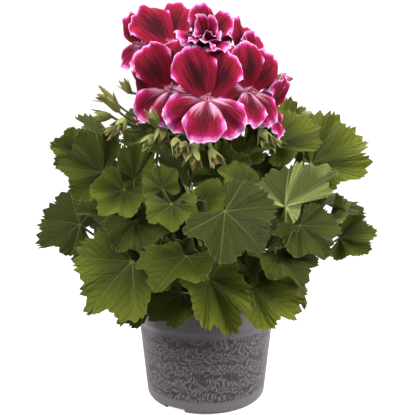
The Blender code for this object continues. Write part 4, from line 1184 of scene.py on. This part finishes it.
# Each bud: flowering stem, where the bud's base is, which way it points, length, half its width.
BUDS = [
    ("left", (-66, -20, 236), (-0.80, -0.20, -0.15), 14, 2.6),
    ("left", (-62, -24, 228), (-0.15, -0.30, -1.00), 15, 3.0),
    ("left", (-56, -26, 232), (0.35, -0.45, -0.80), 13, 2.6),
    ("left", (-64, -16, 242), (-0.50, -0.20, 0.70), 12, 2.4),
    ("front", (-31, -54, 214), (-0.15, -0.40, -0.90), 15, 3.0),
    ("front", (-22, -60, 204), (0.25, -0.50, -0.85), 14, 2.8),
    ("front", (-8, -66, 196), (-0.10, -0.45, -0.90), 14, 3.0),
    ("front", (3, -66, 194), (0.35, -0.45, -0.80), 13, 2.6),
    ("right", (42, -38, 214), (0.30, -0.45, -0.80), 14, 3.0),
    ("right", (50, -30, 212), (0.55, -0.30, -0.65), 12, 2.4),
    ("right", (82, 4, 232), (1.00, -0.10, -0.05), 15, 4.0),
    ("right", (57, 16, 272), (1.00, -0.05, 0.05), 20, 3.4),
    ("back", (-18, 56, 240), (-0.30, 0.90, -0.20), 13, 2.8),
    ("back", (16, 58, 236), (0.30, 0.85, -0.35), 14, 2.8),
]
OPENING_BUDS = (10,)

# Young buds that lean on the leaves, as above. They are too small for the frame.
YOUNG_BUDS = [
    ("left", (-70, -34, 236), (-0.85, -0.25, 0.35), 15, 2.6),
    ("left", (-74, -30, 226), (-0.90, -0.30, -0.10), 14, 2.4),
    ("left", (-67, -36, 228), (-0.55, -0.40, 0.75), 14, 2.5),
    ("left", (-62, -38, 222), (-0.25, -0.55, -0.65), 14, 2.6),
    ("left", (-70, -28, 218), (-0.65, -0.25, -0.60), 12, 2.3),
    ("front", (-33, -62, 212), (-0.45, -0.45, 0.60), 13, 2.5),
    ("front", (-38, -58, 206), (-0.40, -0.50, -0.60), 13, 2.5),
    ("front", (-14, -68, 200), (-0.20, -0.60, -0.55), 12, 2.3),
]

# The bud that is about to open at the right of the head, where its petals have room.
LATE_BUD = ("back", (62, 12, 266), (1.00, -0.40, 0.00), 15, 4.2)

# Each bloom: flowering stem, throat, which way it faces, roll in degrees, size, how far its
# petals close forwards in degrees.
BLOOMS = [
    ("front", (1, -74, 228), (0.02, -0.98, 0.12), 0, 1.00, 4),
    ("left", (-27, -27, 281), (-0.15, -0.88, 0.45), 22, 1.18, 8),
    ("front", (-25, -52, 241), (-0.34, -0.93, 0.08), 8, 1.00, 10),
    ("right", (31, -50, 240), (0.45, -0.88, 0.08), -6, 0.94, 12),
    ("right", (30, -30, 270), (0.52, -0.66, 0.54), -10, 0.90, 22),
    ("front", (-1, -49, 262), (-0.05, -0.78, 0.62), 0, 0.84, 34),
    ("back", (2, -10, 284), (0.08, -0.20, 0.97), 0, 0.84, 32),
    ("left", (-53, -4, 291), (-0.80, -0.58, 0.15), 0, 0.84, 18),
    ("back", (4, 20, 284), (0.05, 0.35, 0.93), 30, 0.84, 30),
    ("right", (38, -8, 266), (0.85, -0.25, 0.40), 0, 0.86, 22),
    ("left", (-32, 30, 262), (-0.62, 0.65, 0.45), 0, 0.90, 18),
    ("back", (4, 42, 262), (0.05, 0.90, 0.40), 0, 0.92, 18),
    ("right", (38, 30, 254), (0.70, 0.65, 0.30), 0, 0.90, 18),
    ("right", (43, -26, 238), (0.90, -0.42, -0.05), 0, 0.80, 20),
    ("left", (-44, -24, 246), (-0.85, -0.50, 0.10), 0, 0.84, 20),
]
UPPER_PETAL = (0.035, 0.0165)
LOWER_PETAL = (0.031, 0.0148)
PETAL_ANGLES = (66, 114, -48, -96, -148)
FRONT_PETALS = (1, 3)
FRONT_PETAL_LIFT = 0.0009
FRONT_PETAL_TILT = math.radians(8)
PETAL_START = 0.0008
PETAL_ROUNDING = 0.42
PETAL_WIDENING = 0.62
PETAL_ARCH = 0.12
PETAL_RECURVE = 0.10
PETAL_RUFFLE = 0.07
CLOSED_NARROWING = 0.45

FLOWER_STALK = (0.150, 0.175, 0.045)
STALK_BLUSH = (0.170, 0.060, 0.045)
SEPAL_GREEN = (0.230, 0.250, 0.070)
SEPAL_BLUSH = (0.300, 0.045, 0.055)
BUD_PURPLE = (0.200, 0.012, 0.075)
BUD_PINK = (0.520, 0.130, 0.330)


def flower_of(stem, throat, facing, roll, size, close, seed):
    axis = Vector(facing).normalized()
    level = Vector((0, 0, 1)) if abs(axis.z) < 0.9 else Vector((0, 1, 0))
    right = level.cross(axis).normalized()
    turn = Matrix((right, axis.cross(right), axis)).transposed()
    return {
        "stem": "flowering_stem_" + stem,
        "node": f"bloom_{seed + 1:02d}",
        "place": Matrix.Translation(Vector(throat) * MM) @ turn.to_4x4(),
        "roll": roll,
        "size": size,
        "close": math.radians(close),
        "phase": seed * BLOOM_PHASE,
        "seed": BLOOM_SEED + seed,
    }


def petal_points(flower, index, row, across, fine=0.0):
    """Points of one petal: a narrow claw that widens into a ruffled fan."""
    length, half_width = UPPER_PETAL if index < 2 else LOWER_PETAL
    length *= flower["size"]
    half_width *= flower["size"] * (1 - CLOSED_NARROWING * math.sin(flower["close"]))
    x = PETAL_START + length * row * (1 - PETAL_ROUNDING * np.abs(across) ** 3 * row**2)
    y = half_width * across * np.sin(math.pi / 2 * row**PETAL_WIDENING)
    ruffle = PETAL_RUFFLE * row**2 * np.sin(4.4 * across + index * 2.1 + flower["phase"])
    arch = PETAL_ARCH * np.sin(math.pi * row * 0.75)
    z = length * (arch + ruffle - PETAL_RECURVE * row**3)
    if fine:
        turn = index * 1.7 + flower["phase"] * 2.3
        frill = np.sin(11 * across + turn) * row**4 + 0.4 * np.sin(19 * across + turn * 2) * row**7
        frill = frill + 0.6 * np.sin(14 * row + turn) * np.abs(across) ** 5 * row
        frill = frill + 0.8 * np.sin(5.2 * across + 2.2 * row + turn * 1.3) * row**1.6
        z = z + length * fine * frill
        outline = 0.012 * row**5 * np.sin(15 * across + turn) + 0.007 * row**8 * np.sin(27 * across)
        x = x * (1.03 + outline)
        y = y * 1.06
    front = index in FRONT_PETALS
    close = flower["close"] + FRONT_PETAL_TILT * front
    around = Matrix.Rotation(math.radians(PETAL_ANGLES[index] + flower["roll"]), 4, "Z")
    lifted = Matrix.Translation((0, 0, FRONT_PETAL_LIFT * front)) @ around
    opened = lifted @ Matrix.Rotation(-close, 4, "Y")
    return moved(opened, np.stack([x, y, z], axis=-1))


def bud_fits(start, heading, length, half_width, tree):
    """True where the frame's node has this bud: its tip, and its skin at two places."""

    def gap(share):
        return tree.find_nearest(start + heading * length * share)[3]

    return gap(1.0) < MATCH and all(0.6 < gap(share) / half_width < 0.8 for share in (0.35, 0.6))


def bud_place(index, base, direction, length, half_width, tree):
    """Where the frame's node has the bud and which way it points, or None."""
    for offset, turn in nudges(BUD_SEED + index, BLOOM_NUDGE, BLOOM_TILT):
        start = Vector(base) * MM + offset
        heading = turn @ Vector(direction).normalized()
        if bud_fits(start, heading, length * MM, half_width * MM, tree):
            return start, heading
    return None


def add_pedicel(growth, top, control, end, kind, draw):
    """A stalk from the knob of its stem to a flower or bud, thicker at both ends."""
    count, sides, hairs, swell = kind
    foot = top + (control - top).normalized() * HUB_SEAT - UP * HUB_SINK
    radii = PEDICEL_RADIUS * np.interp(np.linspace(0, 1, count), PEDICEL_SHARES, swell)
    line = bezier(foot, control, end, count)
    add_tube(growth, line, radii, sides, STALK_SLOT, hairs, LONG_DOWN, draw)


def add_bud(growth, start, heading, length, half_width, opening, draw):
    """Five sepals round the rolled petals, whose tip shows in a bud that is about to open."""
    length, half_width = length * MM, half_width * MM
    share = np.linspace(0, 1, BUD_POINTS)
    swell = np.sin(math.pi * np.clip(share, 0.02, 0.97) ** 0.8) ** 0.7
    line = [start + heading * length * t for t in share]
    slot, hairs = (BUD_SLOT, 0) if opening else (SEPAL_SLOT, BUD_HAIRS)
    add_tube(growth, line, half_width * 0.92 * swell, BUD_SIDES, slot, hairs, LONG_DOWN, draw)
    place = frame_at(start, heading, Vector((0.3, 0.2, 1)))
    for k in range(SEPALS):
        turn = k * math.tau / SEPALS + 0.4
        outward = way_of(place, 0, math.cos(turn), math.sin(turn))
        root = start + outward * half_width * 0.45 + heading * length * 0.04
        reach = length * (0.62 if opening else draw.uniform(0.95, 1.15))
        curl = draw.uniform(-0.10, 0.16)
        way = heading + outward * (0.36 if opening else draw.uniform(0.24, 0.46))
        sepal = (reach, half_width * 1.08, curl)
        add_bract(growth, root, way, outward, *sepal, SEPAL_SLOT, SEPAL_HAIRS, draw)


def add_stalked_bud(growth, top, control, bud, kind, draw, opening=False):
    """A bud on its stalk: where it starts, its heading, its length and half of its width."""
    start, heading, *size = bud
    add_pedicel(growth, top, control, start + heading * BUD_SEAT, kind, draw)
    add_bud(growth, start, heading, *size, opening, draw)


def add_calyx(growth, place, draw):
    """The green base of an open flower, with its sepals spread behind the petals."""
    axis = way_of(place, 0, 0, 1)
    end = place.translation - axis * (THROAT_LENGTH * 0.6 + CALYX_GAP)
    start = end - axis * CALYX_LENGTH
    line = [start.lerp(end, t) for t in CALYX_SHARES]
    sizes = (CALYX_RADII, CALYX_SIDES, SEPAL_SLOT, CALYX_HAIRS, LONG_DOWN)
    add_tube(growth, line, *sizes, draw)
    for k in range(SEPALS):
        turn = k * math.tau / SEPALS + 0.3
        outward = way_of(place, math.cos(turn), math.sin(turn), 0)
        root = start + axis * SEPAL_RISE + outward * CALYX_RADIUS * 0.55
        heading = axis * 0.72 + outward * 0.62
        add_bract(growth, root, heading, outward, *SEPAL, SEPAL_SLOT, SEPAL_HAIRS, draw)
    return start


stalk_skin = Finish("flower_stalk_skin", 0.6)
blush = stalk_skin.place().noise(160.0, 3.0).spread(0.45, 0.8, 0.0, 0.6)
stalk_skin.colour(blush.mix(FLOWER_STALK, STALK_BLUSH))
stalk_skin.bump(stalk_skin.place().noise(900.0), 0.0001)
sepal_skin = Finish("sepal_skin", 0.6)
along, across, _ = sepal_skin.flat().apart()
ribs = abs((across * 6.0).sine())
tips = along.spread(0.55, 1.0, 0.0, 0.45).plus(ribs.spread(0.45, 0.0) * 0.35)
patches = sepal_skin.place().noise(130.0, 3.0).spread(0.42, 0.65)
sepal_skin.colour((tips * patches).mix(SEPAL_GREEN, SEPAL_BLUSH))
sepal_skin.bump(ribs, 0.00015)
bud_skin = Finish("rolled_petals", 0.6)
rolled = bud_skin.place().noise(420.0, 3.0)
bud_skin.colour(rolled.spread(0.4, 0.7).mix(BUD_PURPLE, BUD_PINK))
bud_skin.bump(rolled, 0.0003)

flowers = [flower_of(*values, seed) for seed, values in enumerate(BLOOMS)]
petal_edge = np.linspace(-1, 1, 4)
for flower in flowers:
    edges = [petal_points(flower, k, np.ones(4), petal_edge) for k in range(len(PETAL_ANGLES))]
    outline = np.concatenate(edges)
    tree = node_tree(flower["node"])
    start, seed = flower["place"], flower["seed"]
    flower["place"] = found_place(start, seed, BLOOM_NUDGE, BLOOM_TILT, outline, tree)

for name, route in FLOWERING_STEMS.items():
    growth = Growth()
    draw = np.random.default_rng(len(name) * UPRIGHT_SEED_STEP + UPRIGHT_SEED)
    tree = node_tree(name)
    fine = stem_line(route, FINE_STEM_POINTS)
    top = fine[-1] + UP * HUB_HEIGHT
    line = [*fine, *(fine[-1].lerp(top, t) for t in HUB_SHARES)]
    radii = np.linspace(STEM_FOOT_RADIUS, STEM_TIP_RADIUS * 0.8, FINE_STEM_POINTS)
    radii = [*radii, *(HUB_RADIUS * swell for swell in HUB_SWELL)]
    add_tube(growth, line, radii, STEM_SIDES, STALK_SLOT, UPRIGHT_HAIRS, LONG_DOWN, draw)
    for k in range(HUB_BRACTS):
        outward = round_about(k * SPIRAL)
        root = fine[-1] + outward * HUB_BRACT_OUT
        heading = outward * 0.9 - UP * 0.25
        add_bract(growth, root, heading, UP, *HUB_BRACT, SEPAL_SLOT, HUB_BRACT_HAIRS, draw)
    for flower in flowers:
        if flower["stem"] != name:
            continue
        start = add_calyx(growth, flower["place"], draw)
        axis = way_of(flower["place"], 0, 0, 1)
        control = start - axis * (start - top).length * 0.4
        end = start + axis * CALYX_SEAT
        add_pedicel(growth, top, control, end, FLOWER_PEDICEL, draw)
    for index, (stem, *bud) in enumerate(BUDS):
        if "flowering_stem_" + stem != name:
            continue
        found = bud_place(index, *bud, tree)
        if found is None:
            continue
        bud[:2] = found
        control = top.lerp(bud[0], 0.6) + UP * 0.006
        opening = index in OPENING_BUDS
        add_stalked_bud(growth, top, control, bud, BUD_PEDICEL, draw, opening)
    for stem, base, direction, *size in YOUNG_BUDS:
        if "flowering_stem_" + stem != name:
            continue
        start, heading = Vector(base) * MM, Vector(direction).normalized()
        control = top.lerp(start, 0.55) - UP * 0.016
        add_stalked_bud(growth, top, control, (start, heading, *size), YOUNG_PEDICEL, draw)
    stem, base, direction, *size = LATE_BUD
    if "flowering_stem_" + stem == name:
        start, heading = Vector(base) * MM, Vector(direction).normalized()
        control = start - heading * (start - top).length * 0.4
        add_stalked_bud(growth, top, control, (start, heading, *size), LATE_PEDICEL, draw, True)
    growth.piece("stalks_" + name, [stalk_skin, down, sepal_skin, bud_skin], name, "flower_stem")

# Blooms: five soft petals each, velvety above. The upper two are the larger and darker, with a
# maroon blotch; crimson runs out through magenta into a pale frilled margin. The backs are pink.
PETAL_ROWS = 21
PETAL_COLUMNS = 35
PETAL_HALF = 0.00018
FRILL = 0.040
PETAL_CRIMSON = (0.245, 0.0040, 0.024)
PETAL_MAROON = (0.030, 0.0012, 0.0045)
PETAL_MAGENTA = (0.440, 0.012, 0.125)
PETAL_PINK = (0.700, 0.170, 0.470)
PETAL_WHITE = (0.860, 0.560, 0.760)
THROAT_PALE = (0.820, 0.420, 0.620)
LOWER_MARGIN = 0.58
PETAL_BACK = (0.440, 0.060, 0.215)
BACK_VEIN = (0.240, 0.014, 0.085)
FILAMENT = (0.700, 0.380, 0.480)
ANTHER = (0.160, 0.040, 0.020)
STIGMA = (0.350, 0.010, 0.060)
THROAT_SHARES = (-0.6, -0.2, 0.15)
THROAT_RADII = (0.0019, 0.0018, 0.0010)
THROAT_SIDES = 14
STAMENS = 7
STAMEN_LENGTH = 0.0095
STAMEN_ROOT = 0.0006
STAMEN_RISE = 0.006
STAMEN_SAG = 0.001
STAMEN_SPLAY = 0.0016
STAMEN_DROOP = 0.0022
FILAMENT_POINTS = 8
FILAMENT_SIDES = 6
FILAMENT_RADII = (0.0004, 0.0002)
STYLE_RADII = (0.00035, 0.00025)
ANTHER_SIDES = 7
ANTHER_HALF = 0.0011
ANTHER_SHARES = (-1, -0.6, 0, 0.6, 1)
ANTHER_RADII = (0.0001, 0.0004, 0.0005, 0.0004, 0.0001)
STIGMA_ARMS = 5
ARM_BEND = 0.001
ARM_LENGTH = 0.0018
ARM_RECURVE = 0.0003
ARM_SIDES = 5
ARM_TURN = 1.257
STIGMA_RADII = (0.00025, 0.0002, 0.0001)
FILAMENT_SLOT, ANTHER_SLOT, STIGMA_SLOT = 2, 3, 4
OPENING_FROM = math.radians(21)
INNER_SIZE = 0.74
INNER_CLOSE = math.radians(56)
INNER_TURN = 24
INNER_FRILL = 0.038


def petal_lines(finish, aside):
    """Fine lines that fan out from the throat, a little crooked."""
    fan = aside * 34.0 + finish.flat().noise(5.0, 2.0) * 3.2
    return abs(fan.sine()).spread(0.55, 0.05)


def petal_streaks(finish, row, aside, upper, wide):
    """Soft streaks that fan out from the throat, from -0.5 to 0.5, other ones on each petal."""
    stretched = finish.node("CombineXYZ", {0: row * 1.7, 1: aside * wide, 2: upper * 47.0})
    return stretched.noise(1.0, 4.0, 0.62).spread(0.28, 0.72, -0.5, 0.5)


# On a petal `flat` says how far out and how far aside a point is, and how many millimetres it is
# from the margin. `tone` is near 1 on the two upper petals and near 0 on the three lower ones.
petal_face = Finish("petal_velvet", 0.7, 0.06)
row, aside, margin = petal_face.flat().apart()
upper = petal_face.tone()
lines = petal_lines(petal_face, aside)
broad = petal_streaks(petal_face, row, aside, upper, 7.0)
narrow = petal_streaks(petal_face, row, aside, upper, 19.0)
streaks = broad * 0.6 + narrow * 0.8
reach = (margin + streaks * 1.5) * upper.spread(0.3, 0.7, LOWER_MARGIN, 1.0)
skin = reach.spread(5.2, 1.5).mix(PETAL_CRIMSON, PETAL_MAGENTA)
far = (((row - 0.44) / 0.42) ** 2.0 + (aside / 0.80) ** 2.0).root() + streaks * 0.95
blotch = far.spread(1.22, 0.15) * upper.spread(0.2, 0.7, 0.84, 0.96)
skin = blotch.mix(skin, PETAL_MAROON)
skin = (lines * reach.spread(1.2, 4.5, 0.05, 0.40)).mix(skin, PETAL_MAROON)
skin = reach.spread(2.3, 1.0).mix(skin, PETAL_PINK)
whitish = (margin / upper.spread(0.2, 0.7, 1.5, 0.8)).spread(1.0, 0.2)
skin = whitish.mix(skin, PETAL_WHITE)
sides = (row + streaks * 0.34).spread(0.46, 0.08) * abs(aside).spread(0.08, 0.65, 0.05, 1.0)
pale = (sides * upper.spread(0.7, 0.2, 0.0, 1.0)).larger(row.spread(0.09, 0.03))
petal_face.colour((pale * (lines * -0.6 + 1.0)).mix(skin, THROAT_PALE))
petal_face.bump(lines + streaks * 1.2, 0.00035)

petal_back = Finish("petal_back", 0.75, 0.10)
row, aside, margin = petal_back.flat().apart()
lines = petal_lines(petal_back, aside)
skin = (lines * 0.45).mix(PETAL_BACK, BACK_VEIN)
skin = row.spread(0.75, 0.2, 0.0, 0.35).mix(skin, BACK_VEIN)
petal_back.colour(margin.spread(2.2, 0.3).mix(skin, PETAL_PINK))
petal_back.bump(lines, 0.00022)

small_parts = []
for name, roughness, scale, colour, other in (
    ("filament", 0.6, 700.0, FILAMENT, PETAL_PINK),
    ("anther", 0.8, 2500.0, ANTHER, scaled(ANTHER, 2)),
    ("stigma", 0.5, 1500.0, STIGMA, PETAL_MAGENTA),
):
    finish = Finish(name, roughness)
    finish.colour(finish.place().noise(scale).mix(colour, other))
    small_parts.append(finish)


petal_rows, petal_columns = np.meshgrid(
    np.linspace(0.015, 1, PETAL_ROWS) ** 0.9,
    np.sin(np.linspace(-1, 1, PETAL_COLUMNS) * math.pi / 2),
    indexing="ij",
)


def petal_values(flower, index, draw):
    """The values of a petal's grid of points: how far out, aside and from the margin, and tone."""
    length, half_width = UPPER_PETAL if index < 2 else LOWER_PETAL
    end = (1 - petal_rows) * length * flower["size"]
    side = (1 - np.abs(petal_columns)) * half_width * flower["size"]
    side = side * np.sin(math.pi / 2 * petal_rows**PETAL_WIDENING) * 1.2
    margin = np.minimum(end, side + 0.012 * np.clip(1 - petal_rows / 0.62, 0, 1)) / MM
    tone = np.full(margin.shape, (0.9 if index < 2 else 0.1) + draw.uniform(-0.1, 0.1))
    return np.stack([petal_rows, petal_columns, margin, tone], axis=-1)


for flower in flowers:
    growth = Growth()
    draw = np.random.default_rng(flower["seed"])
    place = flower["place"]
    shapes = [(flower, FRILL)]
    if flower["close"] > OPENING_FROM:
        inner = {
            **flower,
            "size": flower["size"] * INNER_SIZE,
            "close": INNER_CLOSE,
            "roll": flower["roll"] + INNER_TURN,
            "phase": flower["phase"] + 2,
        }
        shapes.append((inner, INNER_FRILL))
    for shape, frill in shapes:
        for index in range(len(PETAL_ANGLES)):
            points = petal_points(shape, index, petal_rows, petal_columns, frill)
            values = petal_values(shape, index, draw)
            half = thinned(PETAL_HALF, petal_rows)
            add_sheet(growth, moved(place, points), half, values, 0, 1)
    axis = way_of(place, 0, 0, 1)
    low = way_of(place, 0, -1, 0)
    throat = [place.translation + axis * THROAT_LENGTH * t for t in THROAT_SHARES]
    add_tube(growth, throat, THROAT_RADII, THROAT_SIDES, FILAMENT_SLOT)
    for k in range(STAMENS + 1):
        turn = k * SPIRAL + 0.5
        outward = way_of(place, math.cos(turn), math.sin(turn), 0)
        root = place.translation + outward * STAMEN_ROOT
        reach = axis * STAMEN_LENGTH * draw.uniform(0.75, 1)
        tip = root + reach + outward * STAMEN_SPLAY + low * STAMEN_DROOP
        control = root + axis * STAMEN_RISE - low * STAMEN_SAG
        line = bezier(root, control, tip, FILAMENT_POINTS)
        if k < STAMENS:
            radii = np.linspace(*FILAMENT_RADII, FILAMENT_POINTS)
            add_tube(growth, line, radii, FILAMENT_SIDES, FILAMENT_SLOT)
            across = (outward.cross(axis) + outward * 0.3).normalized()
            ends = [tip + across * ANTHER_HALF * t for t in ANTHER_SHARES]
            add_tube(growth, ends, ANTHER_RADII, ANTHER_SIDES, ANTHER_SLOT)
            continue
        radii = np.linspace(*STYLE_RADII, FILAMENT_POINTS)
        add_tube(growth, line, radii, FILAMENT_SIDES, STIGMA_SLOT)
        for arm in range(STIGMA_ARMS):
            turn = arm * ARM_TURN
            way = way_of(place, math.cos(turn), math.sin(turn), 0.5)
            end = tip + way * ARM_LENGTH - axis * ARM_RECURVE
            bent = [tip, tip + way * ARM_BEND, end]
            add_tube(growth, bent, STIGMA_RADII, ARM_SIDES, STIGMA_SLOT)
    finishes = [petal_face, petal_back, *small_parts]
    growth.piece("petals_" + flower["node"], finishes, flower["node"], "petal")
